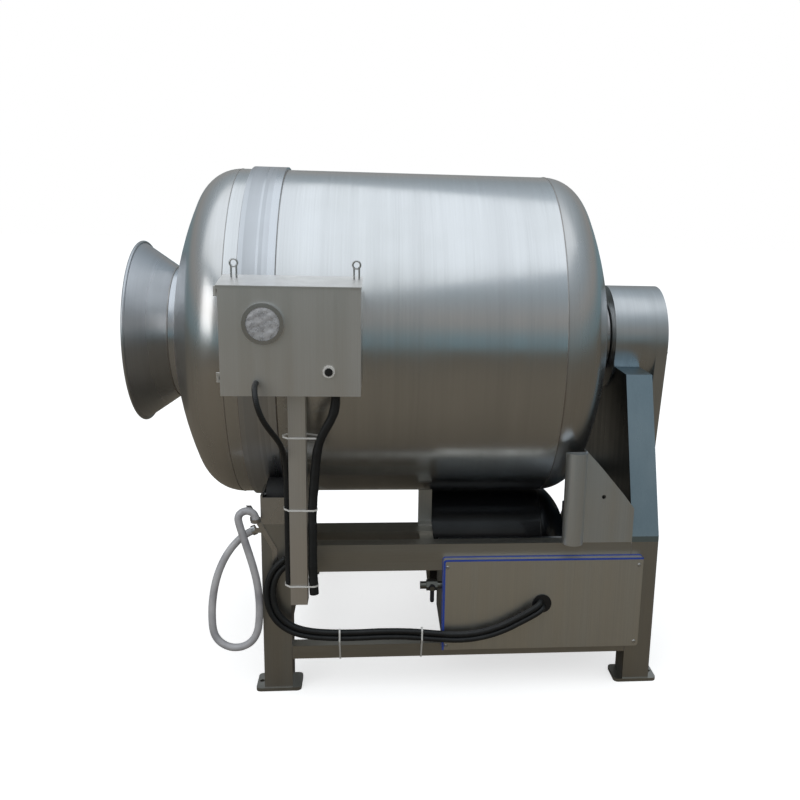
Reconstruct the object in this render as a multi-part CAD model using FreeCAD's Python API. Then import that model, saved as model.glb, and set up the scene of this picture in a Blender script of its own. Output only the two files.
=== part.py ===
"""Meat vacuum tumbler: a rotating stainless drum on a tube frame, as separate jointed pieces.

Units are millimetres. X runs along the drum's axis, from the loading cone (-X) to the drive end (+X).
-Y is the operator's side and +Z is up. The origin is the centre of the four anchor holes, on the floor.
"""

import FreeCAD, Part
import math
import os
from collections import namedtuple

V = FreeCAD.Vector

# ---------------------------------------------------------------- driving dimensions
AXIS_Z = 990.0            # height of the drum's axis
RUN_FIT = 0.05            # radial clearance of a shaft in its bearing
ROLL_GAP = 0.4            # gap between the riding ring and a roller

DRUM_R = 500.0
DRUM_WALL = 5.0
DRUM_X0, DRUM_X1 = -657.0, 263.0

# A dished end: its seam, the way it bulges, its outside radius, crown, knuckle, wall and axis height.
Dish = namedtuple("Dish", "seam_x side radius crown knuckle wall z")
FRONT_DISH = Dish(DRUM_X0, -1, DRUM_R, 2.0 * DRUM_R, 0.24 * DRUM_R, DRUM_WALL, AXIS_Z)
REAR_DISH = FRONT_DISH._replace(seam_x=DRUM_X1, side=1)

RING_T = 8.0
RING_R = DRUM_R + RING_T
RING_X0, RING_X1 = -619.0, -521.0

NECK_R, NECK_WALL = 200.0, 6.0
NECK_X0, NECK_X1 = -862.0, -826.0
RIM_X, RIM_R, RIM_BEAD = -968.0, 273.0, 5.0
CONE_WALL = 4.0

LID_R, LID_X0, LID_T = 188.0, -852.0, 6.0
SEAL_T = 12.0
LID_GRIP, LID_GRIP_WIRE, LID_GRIP_OUT = 130.0, 6.0, 42.0

FLIGHT_DEPTH = 90.0
FLIGHT_IN_R = DRUM_R - DRUM_WALL - FLIGHT_DEPTH
FLIGHT_X0, FLIGHT_LENGTH, FLIGHT_PITCH = -620.0, 840.0, 1900.0
FLIGHT_T = 6.0
FLIGHT_COUNT = 3

HUB_R, HUB_X1 = 110.0, 484.0
SHAFT_R, SHAFT_BORE_R, SHAFT_X1 = 45.0, 25.0, 648.0

LEG_X, LEG_Y, LEG = 533.0, 410.0, 80.0      # leg centres and tube size
LEG_WALL = 4.0
FRONT_LEG_TOP, REAR_LEG_TOP = 514.0, 449.0
FOOT_X, FOOT_Y, FOOT_T = 130.0, 88.0, 10.0
ANCHOR_X, ANCHOR_R = 585.0, 7.0             # anchor holes stand at +-ANCHOR_X, +-LEG_Y

FACE_Y = LEG_Y + LEG / 2                    # outer face of the frame
RAIL_DEPTH = 40.0
RAIL_WALL = 3.0
UPPER_Z0, UPPER_Z1 = 369.0, 449.0
INNER_X1, INNER_Y0, INNER_Y1, INNER_DEPTH = -84.0, -345.0, -270.0, 24.0
STAND_H, STAND_T = 106.0, 6.0
LOWER_Z0, LOWER_Z1 = 100.0, 140.0

ROLLER_R, ROLLER_Y = 50.0, 375.0
ROLLER_X0, ROLLER_X1 = -562.0, -504.0
AXLE_R = 10.0
BRACKET_T = 6.0
BRACKET_FRONT_Z, BRACKET_CHEEK_Z, BRACKET_BACK_Y = 592.0, 598.0, 344.0

PED_X0, PED_X1 = 493.0, 573.0
PED_TOP_Z, PED_TOP_Y, PED_SHOULDER_Z = 915.0, 280.0, 466.0
PED_WALL = 5.0
HOUSE_R, HOUSE_WALL = 166.0, 6.0
HOUSE_X0, HOUSE_X1 = 488.0, 619.0
BEARING_R, BEARING_W = 60.0, 32.0

DRIVE_Z = 330.0
CHAIN_PITCH, BIG_TEETH, SMALL_TEETH = 19.05, 42, 16
SPROCKET_X0, SPROCKET_X1 = 629.0, 639.0
COVER_X1, COVER_WALL, COVER_SMALL_R = 655.0, 3.0, 70.0
DRIVE_SHAFT_R = 18.0
GEARBOX_X0, GEARBOX_Y, GEARBOX_Z0, GEARBOX_Z1 = 398.0, 70.0, 262.0, 400.0
MOTOR_X, MOTOR_R, MOTOR_Z0 = 446.0, 58.0, 62.0
MOTOR_PLATE_T = 10.0

TANK_R, TANK_Z, TANK_WALL = 165.0, 308.0, 4.0
TANK_X0, TANK_X1 = -67.0, 283.0
TANK_DISH = Dish(TANK_X1, 1, TANK_R, 200.0, 55.0, TANK_WALL, TANK_Z)
CRADLE_XS = (13.0, 233.0)

CAB_X0, CAB_X1, CAB_Y0, CAB_Y1 = -57.0, 491.0, -448.0, -190.0
CAB_Z0, CAB_Z1, CAB_WALL = 140.0, 367.0, 2.0
PANEL_X0, PANEL_X1, PANEL_Z0, PANEL_Z1 = -60.0, 526.0, 128.0, 409.0
PANEL_Y0, PANEL_Y1, PANEL_T = -470.0, -453.0, 1.5
GLAND_X, GLAND_Z, GLAND_R = 230.0, 270.0, 23.0

VALVE_X, VALVE_Y, VALVE_Z = -90.0, -430.0, 315.0
STEM_R, LEVER_L = 4.0, 38.0

POST_X, POST = -460.0, 45.0
POST_Y0, POST_Y1 = -565.0, -520.0
POST_Z0, POST_Z1 = 324.0, 922.0

BOX_X0, BOX_X1, BOX_Y0, BOX_Y1 = -638.0, -293.0, -640.0, -526.0
BOX_Z0, BOX_Z1, BOX_RISE, BOX_WALL, ROOF_T = 922.0, 1194.0, 16.0, 2.0, 2.5
HATCH_PIN_R, HATCH_KNUCKLE_R, HATCH_T = 2.5, 5.0, 2.0
HINGE_X, HINGE_Y = -643.0, -634.0
KNUCKLE_ZS = (968.0, 1181.0)

GAUGE_X, GAUGE_Z, GAUGE_R = -530.0, 1104.0, 51.0
DIAL_R, GAUGE_STEM_R, GAUGE_DEPTH = 41.0, 30.0, 14.0
BUTTON_X, BUTTON_Z, BUTTON_R = -372.0, 985.0, 15.0
BUTTON_BODY_R, CAP_R = 11.0, 10.0

HOSE_R, THIN_R, THICK_R, LEAD_R = 10.5, 7.0, 12.0, 8.5
HOSE_LOOP = [(-589, -439, 495), (-609, -440, 487), (-634, -442, 469), (-662, -446, 437), (-685, -451, 396),
             (-701, -457, 349), (-710, -463, 298), (-713, -468, 247), (-710, -471, 199), (-693.4, -473, 170.6),
             (-664.6, -475, 154), (-631.4, -476, 154), (-602.6, -477, 170.6), (-586, -477.5, 199.4),
             (-580, -478, 236), (-578, -478, 290), (-582, -478, 345), (-592, -478, 395), (-604, -478, 440),
             (-615, -478, 479), (-624, -478, 511), (-629, -477.5, 530), (-631, -476.5, 543),
             (-626, -475.5, 555), (-614, -474, 562), (-600.5, -473, 562), (-589.5, -471.5, 554.5),
             (-584, -470, 542.5), (-584, -469, 529.5)]
THIN_ROUTE = [(-551, -640, 955), (-551, -662, 955), (-549, -684, 945), (-545, -698, 925), (-539, -700, 900),
              (-530, -690, 872), (-519, -668, 845), (-508, -636, 817), (-498, -600, 786), (-492, -569, 748),
              (-490.5, -549, 702), (-490.8, -543.5, 650), (-491, -543, 584), (-491, -542.5, 514),
              (-491, -543, 444), (-491, -543.2, 376)]
THICK_ROUTE = [(-358, -574, 922), (-358, -574, 888), (-367, -573, 852), (-388, -570, 816),
               (-405, -565, 776), (-412, -561, 726), (-417, -557, 664), (-423, -556, 592), (-422, -556, 512),
               (-424, -556, 432), (-420, -556, 352)]
LEAD_ROUTE = [(-498, -484, 418), (-520, -484, 401), (-538, -484, 375), (-548, -484, 342), (-549, -484, 303),
              (-539, -484, 263), (-515, -484, 229), (-479, -484, 206), (-431, -484, 194), (-368, -484, 189),
              (-300, -485, 189), (-228, -486, 192), (-150, -487, 190), (-76, -489, 182), (-4, -490, 177),
              (62, -490, 186), (118, -490, 205), (165, -491, 231), (196, -494, 250), (216, -492, 262),
              (228, -482, 269), (230, -462, 270)]
LEAD_APART = 17.6                           # between the two leads' centres


# ---------------------------------------------------------------- shape helpers
def box(x0, x1, y0, y1, z0, z1):
    """A box between two corners."""
    return Part.makeBox(x1 - x0, y1 - y0, z1 - z0, V(x0, y0, z0))


def cylinder(radius, start, end):
    """A cylinder from one point to another."""
    axis = V(*end) - V(*start)
    return Part.makeCylinder(radius, axis.Length, V(*start), axis)


def disc_x(radius, x0, x1, y=0.0, z=AXIS_Z):
    """A cylinder along X."""
    return cylinder(radius, (x0, y, z), (x1, y, z))


def ring_x(outer, inner, x0, x1, y=0.0, z=AXIS_Z):
    """A ring along X."""
    return disc_x(outer, x0, x1, y, z).cut(disc_x(inner, x0 - 1, x1 + 1, y, z))


def prism(points, vector):
    """A closed polygon pushed along a vector."""
    ends = [V(*p) for p in points]
    return Part.Face(Part.makePolygon(ends + [ends[0]])).extrude(V(*vector))


def fused(shapes):
    """One solid from several that touch."""
    whole = shapes[0].fuse(shapes[1:]).removeSplitter()
    return whole.Solids[0] if len(whole.Solids) == 1 else whole


def square_tube(x0, x1, y0, y1, z0, z1, wall, along):
    """A box section open at both ends; along is the index of its long axis."""
    low, high = [x0, y0, z0], [x1, y1, z1]
    inner = [[a + wall, b - wall] for a, b in zip(low, high)]
    inner[along] = [low[along] - 1, high[along] + 1]
    hollow = box(inner[0][0], inner[0][1], inner[1][0], inner[1][1], inner[2][0], inner[2][1])
    return box(x0, x1, y0, y1, z0, z1).cut(hollow)


def revolved(edges, z=AXIS_Z):
    """A profile of edges in the XZ plane, turned about a line along X at height z."""
    face = Part.Face(Part.Wire(Part.__sortEdges__(edges)))
    return face.revolve(V(0, 0, z), V(1, 0, 0), 360)


def at_radius(x, radius, z=AXIS_Z):
    """The point of a turned profile at this X and radius."""
    return V(x, 0, z + radius)


def line(p, q):
    """A straight edge."""
    return Part.LineSegment(p, q).toShape()


def arc(centre, radius, a0, a1):
    """An arc in the XZ plane between two angles from +X, in radians."""
    def at(a):
        return V(centre.x + radius * math.cos(a), 0, centre.z + radius * math.sin(a))
    return Part.Arc(at(a0), at((a0 + a1) / 2), at(a1)).toShape()


def dish_centres(dish):
    """Centres of a dished end's crown and knuckle, and the angle where the two arcs meet."""
    across = dish.radius - dish.knuckle
    rise = math.sqrt((dish.crown - dish.knuckle) ** 2 - across ** 2)
    crown = at_radius(dish.seam_x - dish.side * rise, 0, dish.z)
    knuckle = at_radius(dish.seam_x, across, dish.z)
    return crown, knuckle, math.atan2(across, dish.side * rise)


def dish_skin(dish, inset, hole_r):
    """The arcs of one skin from the hole's edge to the seam, with its end points."""
    crown, knuckle, meet = dish_centres(dish)
    r = dish.crown - inset
    tilt = math.asin(hole_r / r)
    start = tilt if dish.side > 0 else math.pi - tilt
    arcs = [arc(crown, r, start, meet), arc(knuckle, dish.knuckle - inset, meet, math.pi / 2)]
    lip = crown + V(r * math.cos(start), 0, r * math.sin(start))
    return arcs, lip, at_radius(dish.seam_x, dish.radius - inset, dish.z)


def dished_end(dish, hole_r=0.0):
    """A dished end as a shell, with a round hole on its axis if hole_r is given."""
    outer, lip_out, seam_out = dish_skin(dish, 0, hole_r)
    inner, lip_in, seam_in = dish_skin(dish, dish.wall, hole_r)
    return revolved(outer + inner + [line(lip_out, lip_in), line(seam_out, seam_in)], dish.z)


def dish_core(dish):
    """The whole space inside a dished end's outer skin, to trim what is welded on."""
    outer, lip, seam = dish_skin(dish, 0, 0.0)
    centre = at_radius(dish.seam_x, 0, dish.z)
    return revolved(outer + [line(seam, centre), line(centre, lip)], dish.z)


# ---------------------------------------------------------------- drum
def drum_shell():
    return ring_x(DRUM_R, DRUM_R - DRUM_WALL, DRUM_X0, DRUM_X1)


def loading_cone():
    """The flared mouth with its rolled rim bead."""
    points = [at_radius(NECK_X0, NECK_R), at_radius(RIM_X, RIM_R),
              at_radius(RIM_X, RIM_R - CONE_WALL), at_radius(NECK_X0, NECK_R - CONE_WALL)]
    cone = revolved([line(a, b) for a, b in zip(points, points[1:] + points[:1])])
    bead = Part.Face(Part.Wire(Part.makeCircle(RIM_BEAD, at_radius(RIM_X, RIM_R), V(0, 1, 0))))
    return fused([cone, bead.revolve(V(0, 0, AXIS_Z), V(1, 0, 0), 360)])


def mixing_flight(index):
    """A screw-shaped vane, welded by its outer edge to the drum's inside."""
    middle, half = (DRUM_R - DRUM_WALL + FLIGHT_IN_R) / 2, (DRUM_R - DRUM_WALL - FLIGHT_IN_R) / 2 - 0.1
    spine = Part.makeHelix(FLIGHT_PITCH, FLIGHT_LENGTH, middle)
    t = FLIGHT_T / 2
    lead = math.atan2(FLIGHT_PITCH, 2 * math.pi * middle)
    across = V(0, -math.sin(lead), math.cos(lead)) * t
    radial, start = V(half, 0, 0), V(middle, 0, 0)
    corners = [start - radial - across, start + radial - across,
               start + radial + across, start - radial + across]
    section = Part.makePolygon(corners + corners[:1])
    vane = Part.Wire(spine.Edges).makePipeShell([section], True, True)
    vane.rotate(V(0, 0, 0), V(0, 1, 0), 90)
    vane.translate(V(FLIGHT_X0, 0, AXIS_Z))
    vane.rotate(V(0, 0, AXIS_Z), V(1, 0, 0), index * 360.0 / FLIGHT_COUNT)
    return vane


def hub_shaft():
    """The rear hub plate, shaped to the rear head, with the hollow main shaft through it."""
    hub = disc_x(HUB_R, DRUM_X1 + 150, HUB_X1).cut(dish_core(REAR_DISH))
    shaft = disc_x(SHAFT_R, HUB_X1 - 34, SHAFT_X1)
    return fused([hub, shaft]).cut(disc_x(SHAFT_BORE_R, DRUM_X1, SHAFT_X1 + 1))


def sprocket(teeth, bore, z):
    """A chain wheel with trimmed teeth and a boss."""
    pitch_r = CHAIN_PITCH / (2 * math.sin(math.pi / teeth))
    root, tip = pitch_r - 6.0, pitch_r + 6.5
    points = []
    for i in range(teeth):
        for share, radius in ((-0.30, root), (-0.13, tip), (0.13, tip), (0.30, root)):
            a = 2 * math.pi * (i + share) / teeth
            points.append((SPROCKET_X0, radius * math.sin(a), z + radius * math.cos(a)))
    wheel = prism(points, (SPROCKET_X1 - SPROCKET_X0, 0, 0))
    boss = disc_x(bore + 14, SPROCKET_X0 - 4, SPROCKET_X1 + 5, 0, z)
    return fused([wheel, boss]).cut(disc_x(bore, 600, 700, 0, z))


# ---------------------------------------------------------------- lid
def lid_disc():
    """The round plug that closes the neck, with a raised stiffening bead."""
    plate = disc_x(LID_R, LID_X0, LID_X0 + LID_T)
    return fused([plate, ring_x(LID_R - 20, LID_R - 32, LID_X0 + LID_T, LID_X0 + LID_T + 8)])


def lid_seal():
    middle = LID_X0 + LID_T / 2
    return ring_x(NECK_R - NECK_WALL - RUN_FIT, LID_R, middle - SEAL_T / 2, middle + SEAL_T / 2)


def bent_wire(points, radius):
    """A rod through points, with round joints at its corners."""
    parts = [cylinder(radius, a, b) for a, b in zip(points, points[1:])]
    parts += [Part.makeSphere(radius, V(*p)) for p in points[1:-1]]
    return fused(parts)


def lid_grip():
    half, x = LID_GRIP / 2, LID_X0 - LID_GRIP_OUT
    return bent_wire([(LID_X0, 0, AXIS_Z - half), (x, 0, AXIS_Z - half), (x, 0, AXIS_Z + half),
                      (LID_X0, 0, AXIS_Z + half)], LID_GRIP_WIRE)


# ---------------------------------------------------------------- frame
def leg(sx, sy, top):
    """A leg tube on its foot plate; sx and sy are its corner's signs."""
    x, y, half = sx * LEG_X, sy * LEG_Y, LEG / 2
    tube = square_tube(x - half, x + half, y - half, y + half, FOOT_T, top, LEG_WALL, 2)
    plate = box(x - FOOT_X / 2, x + FOOT_X / 2, y - FOOT_Y / 2, y + FOOT_Y / 2, 0, FOOT_T)
    hole = cylinder(ANCHOR_R, (sx * ANCHOR_X, y, -1), (sx * ANCHOR_X, y, FOOT_T + 1))
    upright = [e for e in plate.Edges if abs(e.Vertexes[0].Z - e.Vertexes[1].Z) > 1]
    return fused([plate.makeFillet(14, upright).cut(hole), tube])


def long_rail(side, z0, z1):
    """A rail along X between two legs, flush with the frame's outer face."""
    end = LEG_X - LEG / 2
    y0, y1 = sorted((side * FACE_Y, side * (FACE_Y - RAIL_DEPTH)))
    return square_tube(-end, end, y0, y1, z0, z1, RAIL_WALL, 0)


def cross_rail(x, z0, z1):
    """A rail along Y between a pair of legs."""
    end = LEG_Y - LEG / 2
    return square_tube(x - RAIL_DEPTH / 2, x + RAIL_DEPTH / 2, -end, end, z0, z1, RAIL_WALL, 1)


def inner_rail():
    """A channel behind the near rail that carries pipes, open downwards, and the bar that holds its end."""
    start, w = -(LEG_X - RAIL_DEPTH / 2), RAIL_WALL
    outer = box(start, INNER_X1, INNER_Y0, INNER_Y1, UPPER_Z1 - INNER_DEPTH, UPPER_Z1)
    hollow = box(start - 1, INNER_X1 + 1, INNER_Y0 + w, INNER_Y1 - w, UPPER_Z1 - INNER_DEPTH - 1, UPPER_Z1 - w)
    bar = box(INNER_X1 - 40, INNER_X1, -(FACE_Y - RAIL_DEPTH), INNER_Y0, UPPER_Z1 - INNER_DEPTH, UPPER_Z1 - 10)
    return fused([outer.cut(hollow), bar])


def sensor_stand():
    """The upright plate at the channel's end, as high as the drum lets it, with its bent foot."""
    upright = box(INNER_X1 - 41, INNER_X1, INNER_Y1 - STAND_T, INNER_Y1, UPPER_Z1, UPPER_Z1 + STAND_H)
    foot = box(INNER_X1 - 41, INNER_X1, INNER_Y1 - 30, INNER_Y1, UPPER_Z1, UPPER_Z1 + STAND_T)
    return fused([upright, foot])


def cradle(x):
    """A cross rail with a saddle plate shaped to the tank."""
    rail = square_tube(x - 20, x + 20, -(FACE_Y - RAIL_DEPTH), FACE_Y - RAIL_DEPTH,
                       LOWER_Z0, LOWER_Z1, RAIL_WALL, 1)
    plate = box(x - 5, x + 5, -112, 112, LOWER_Z1, LOWER_Z1 + 62)
    return fused([rail, plate.cut(disc_x(TANK_R, x - 10, x + 10, 0, TANK_Z))])


def roller_bracket(side):
    """A welded fork on a front leg, with the roller's fixed axle."""
    half = LEG / 2
    x0, x1 = -LEG_X - half, -LEG_X + half

    def span(a, b):
        return sorted((side * a, side * b))

    def plate(xa, xb, ya, yb, za, zb):
        y = span(ya, yb)
        return box(xa, xb, y[0], y[1], za, zb)

    base = plate(x0, x1, BRACKET_BACK_Y, FACE_Y, FRONT_LEG_TOP, FRONT_LEG_TOP + BRACKET_T)
    front = plate(x0, x1, FACE_Y - BRACKET_T, FACE_Y, FRONT_LEG_TOP, BRACKET_FRONT_Z)
    cheeks = [plate(a, a + BRACKET_T, BRACKET_BACK_Y, FACE_Y, FRONT_LEG_TOP, BRACKET_CHEEK_Z)
              for a in (x0, x1 - BRACKET_T)]
    y, z = side * ROLLER_Y, roller_z()
    axle = disc_x(AXLE_R, x0 - 4, x1 + 4, y, z)
    return fused([base, front] + cheeks + [axle])


def roller_z():
    """Height of the roller axles, from the ring they carry."""
    reach = RING_R + ROLLER_R + ROLL_GAP
    return AXIS_Z - math.sqrt(reach ** 2 - ROLLER_Y ** 2)


def roller(side):
    y, z = side * ROLLER_Y, roller_z()
    tyre = ring_x(ROLLER_R, AXLE_R + RUN_FIT, ROLLER_X0, ROLLER_X1, y, z)
    grooves = [ring_x(ROLLER_R + 1, ROLLER_R - 9, x0, x0 + 4, y, z) for x0 in (ROLLER_X0 - 1, ROLLER_X1 - 3)]
    return tyre.cut(grooves[0]).cut(grooves[1])


# ---------------------------------------------------------------- drive end
def pedestal_polygon(inset):
    """Half-hexagon outline of the pedestal in YZ, moved in by inset."""
    slope = V(0, PED_TOP_Y - FACE_Y, PED_TOP_Z - PED_SHOULDER_Z)
    slope.normalize()
    shift = inset / slope.z                 # level distance that moves the slope in by inset
    run = -slope.y / slope.z
    top_z = PED_TOP_Z - inset
    top_y = PED_TOP_Y + (PED_TOP_Z - top_z) * run - shift
    side_y = FACE_Y - inset
    side_z = PED_SHOULDER_Z - (shift - inset) / run
    base = UPPER_Z1 - (10 if inset else 0)
    return [(-side_y, base), (-side_y, side_z), (-top_y, top_z), (top_y, top_z), (side_y, side_z),
            (side_y, base)]


def pedestal():
    """The hollow plate stand that holds the bearing housing, open below, with the gearmotor's plate."""
    def block(inset, x0, x1):
        return prism([(x0, y, z) for y, z in pedestal_polygon(inset)], (x1 - x0, 0, 0))

    outer = block(0, PED_X0, PED_X1).cut(disc_x(HOUSE_R, PED_X0 - 1, PED_X1 + 1))
    hollow = block(PED_WALL, PED_X0 + PED_WALL, PED_X1 - PED_WALL)
    stand = outer.cut(hollow.cut(disc_x(HOUSE_R + PED_WALL, PED_X0, PED_X1)))
    plate = box(PED_X0 - MOTOR_PLATE_T, PED_X0, -95, 95, GEARBOX_Z0, 540)
    plate = plate.cut(disc_x(DRIVE_SHAFT_R + 12, PED_X0 - 11, PED_X0 + 1, 0, DRIVE_Z))
    return fused([stand, plate])


def bearing_housing():
    """The round casing through the pedestal, its end plates, and the plate that backs the chain."""
    wall = ring_x(HOUSE_R, HOUSE_R - HOUSE_WALL, HOUSE_X0, HOUSE_X1)
    ends = [ring_x(HOUSE_R, BEARING_R, x, x + HOUSE_WALL) for x in (HOUSE_X0, HOUSE_X1 - HOUSE_WALL)]
    back = keyhole(HOUSE_X1, HOUSE_X1 + COVER_WALL, 0)
    back = back.cut(disc_x(BEARING_R, HOUSE_X1 - 1, COVER_X1))
    back = back.cut(disc_x(DRIVE_SHAFT_R + 8, HOUSE_X1 - 1, COVER_X1, 0, DRIVE_Z))
    return fused([wall, back] + ends)


def shaft_bearings():
    """The two identical bearings, one in each end plate of the housing."""
    starts = (HOUSE_X0, HOUSE_X1 - BEARING_W)
    return Part.makeCompound([ring_x(BEARING_R, SHAFT_R + RUN_FIT, x, x + BEARING_W) for x in starts])


def keyhole(x0, x1, inset):
    """The chain case's outline: a large circle above a small one, joined by tangents."""
    big, small = HOUSE_R - inset, COVER_SMALL_R - inset
    drop = AXIS_Z - DRIVE_Z
    tilt = math.asin((big - small) / drop)
    outline = []
    for radius, z in ((big, AXIS_Z), (small, DRIVE_Z)):
        outline.append((x0, radius * math.cos(tilt), z - radius * math.sin(tilt)))
    outline += [(x, -y, z) for x, y, z in reversed(outline)]
    waist = prism(outline, (x1 - x0, 0, 0))
    return fused([waist, disc_x(big, x0, x1), disc_x(small, x0, x1, 0, DRIVE_Z)])


def chain_cover():
    """The pressed cover over the chain, open towards its backplate."""
    x0 = HOUSE_X1 + COVER_WALL
    return keyhole(x0, COVER_X1, 0).cut(keyhole(x0 - 1, COVER_X1 - COVER_WALL, COVER_WALL))


def gearmotor():
    """A worm gearbox with a bolted side cover and an output bore, and a finned motor below it."""
    x1 = PED_X0 - MOTOR_PLATE_T
    body = box(GEARBOX_X0, x1, -GEARBOX_Y, GEARBOX_Y, GEARBOX_Z0, GEARBOX_Z1)
    body = body.makeFillet(10, [e for e in body.Edges if abs(e.Vertexes[0].X - e.Vertexes[1].X) > 1])
    cover = disc_x(56, GEARBOX_X0 - 8, GEARBOX_X0, 0, DRIVE_Z)
    bore = disc_x(DRIVE_SHAFT_R + RUN_FIT, x1 - 45, x1 + 1, 0, DRIVE_Z)
    core = cylinder(MOTOR_R - 6, (MOTOR_X, 0, MOTOR_Z0), (MOTOR_X, 0, GEARBOX_Z0))
    fins = [cylinder(MOTOR_R, (MOTOR_X, 0, z), (MOTOR_X, 0, z + 4)) for z in range(130, 240, 12)]
    cowl = cylinder(MOTOR_R, (MOTOR_X, 0, MOTOR_Z0 + 2), (MOTOR_X, 0, MOTOR_Z0 + 52))
    terminal = box(MOTOR_X - 26, MOTOR_X + 26, MOTOR_R - 12, MOTOR_R + 26, 150, 222)
    return fused([body.cut(bore), cover, core, cowl, terminal] + fins)


def drive_pinion():
    """The gearbox's output shaft with the small chain wheel on it."""
    shaft = disc_x(DRIVE_SHAFT_R, PED_X0 - MOTOR_PLATE_T - 40, SPROCKET_X1 + 8, 0, DRIVE_Z)
    return fused([shaft, sprocket(SMALL_TEETH, DRIVE_SHAFT_R - 4, DRIVE_Z)])


def drive_guard():
    """The bent sheet in front of the drum's drive end, with its half-round column."""
    face = -FACE_Y
    column = cylinder(31, (315, face, UPPER_Z1), (315, face, 722))
    column = column.cut(cylinder(28, (315, face, UPPER_Z1 - 1), (315, face, 719)))
    column = column.cut(box(270, 360, face + 3, face + 60, UPPER_Z1 - 1, 730))
    outline = [(343, UPPER_Z1), (343, 726), (390, 676), (462, 592), (493, 552), (493, UPPER_Z1)]
    sheet = prism([(x, face, z) for x, z in outline], (0, 3, 0))
    lip = prism([(x, face, z) for x, z in outline[1:5]] +
                [(x - 2, face, z - 4) for x, z in reversed(outline[1:5])], (0, 28, 0))
    return fused([column, sheet, lip]).cut(cylinder(6, (401, face - 1, 588), (401, face + 4, 588)))


# ---------------------------------------------------------------- tank and cabinet
def tank():
    """The vacuum tank: a shell with one flat bolted end and one domed end."""
    wall = ring_x(TANK_R, TANK_R - TANK_WALL, TANK_X0, TANK_X1, 0, TANK_Z)
    plate = disc_x(TANK_R, TANK_X0 - 10, TANK_X0, 0, TANK_Z)
    return fused([wall, plate, dished_end(TANK_DISH)])


def cabinet_body():
    """The pump cabinet between the rails, open behind its front panel."""
    outer = box(CAB_X0, CAB_X1, CAB_Y0, CAB_Y1, CAB_Z0, CAB_Z1)
    w = CAB_WALL
    hollow = box(CAB_X0 + w, CAB_X1 - w, CAB_Y0 - 1, CAB_Y1 - w, CAB_Z0 + w, CAB_Z1 - w)
    return outer.cut(hollow)


def rounded_panel(grow, y0, y1, radius):
    """The front panel's outline, grown by a margin."""
    block = box(PANEL_X0 - grow, PANEL_X1 + grow, y0, y1, PANEL_Z0 - grow, PANEL_Z1 + grow)
    return block.makeFillet(radius, [e for e in block.Edges if abs(e.Vertexes[0].Y - e.Vertexes[1].Y) > 1])


def cabinet_panel():
    """The folded front panel, with its cable hole and screw holes."""
    pan = rounded_panel(0, PANEL_Y0, PANEL_Y1, 8)
    pan = pan.cut(rounded_panel(-PANEL_T, PANEL_Y0 + PANEL_T, PANEL_Y1 + 1, 7))
    return pan.cut(cylinder(GLAND_R, (GLAND_X, PANEL_Y0 - 1, GLAND_Z), (GLAND_X, PANEL_Y1, GLAND_Z)))


def cabinet_gasket():
    outer = rounded_panel(1.5, PANEL_Y1, PANEL_Y1 + 3, 9)
    return outer.cut(rounded_panel(-16, PANEL_Y1 - 1, PANEL_Y1 + 4, 4))


def cabinet_gland():
    """The rubber plug in the panel's cable hole, with a bore for each lead."""
    y = PANEL_Y0
    flange = cylinder(GLAND_R + 5, (GLAND_X, y - 4, GLAND_Z), (GLAND_X, y, GLAND_Z))
    sleeve = cylinder(GLAND_R, (GLAND_X, y, GLAND_Z), (GLAND_X, y + 14, GLAND_Z))
    plug = fused([flange, sleeve])
    for side in (-1, 1):
        plug = plug.cut(lead(side))
    return plug


def screw_head(point, way):
    """A low round screw head seated on a face; way is the face's outward normal."""
    base, normal = V(*point), V(*way)
    return Part.makeCone(5.5, 4.0, 3.0, base, normal)


def cover_screws():
    """All the identical screw heads, of the cabinet panel and the chain cover."""
    spots = [((x, PANEL_Y0, z), (0, -1, 0)) for x, z in
             ((PANEL_X0 + 12, PANEL_Z1 - 24), (PANEL_X1 - 12, PANEL_Z1 - 24),
              (PANEL_X0 + 12, PANEL_Z0 + 14), (PANEL_X1 - 12, PANEL_Z0 + 14))]
    for turn in (0, 50, 100, -50, -100):
        a = math.radians(turn)
        r = HOUSE_R - 10
        spots.append(((COVER_X1, r * math.sin(a), AXIS_Z + r * math.cos(a)), (1, 0, 0)))
    for y in (-50, 0, 50):
        z = DRIVE_Z if y else DRIVE_Z - COVER_SMALL_R + 12
        spots.append(((COVER_X1, y, z), (1, 0, 0)))
    return Part.makeCompound([screw_head(p, w) for p, w in spots])


def valve_body():
    """A ball valve on the cabinet's end wall, with its stem and nut."""
    pipe = cylinder(11, (VALVE_X - 34, VALVE_Y, VALVE_Z), (CAB_X0, VALVE_Y, VALVE_Z))
    turns = [math.radians(a) for a in range(0, 360, 60)]
    sides = [(VALVE_X - 16, VALVE_Y + 16 * math.cos(a), VALVE_Z + 16 * math.sin(a)) for a in turns]
    hexagon = prism(sides, (32, 0, 0))
    stem = cylinder(STEM_R, (VALVE_X, VALVE_Y - 13, VALVE_Z), (VALVE_X, VALVE_Y - 28, VALVE_Z))
    collar = cylinder(8, (VALVE_X, VALVE_Y - 12, VALVE_Z), (VALVE_X, VALVE_Y - 19.5, VALVE_Z))
    nut = cylinder(7, (VALVE_X, VALVE_Y - 24.5, VALVE_Z), (VALVE_X, VALVE_Y - 28, VALVE_Z))
    bore = cylinder(7, (VALVE_X - 35, VALVE_Y, VALVE_Z), (VALVE_X - 18, VALVE_Y, VALVE_Z))
    return fused([pipe, hexagon, stem, collar, nut]).cut(bore)


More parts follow.
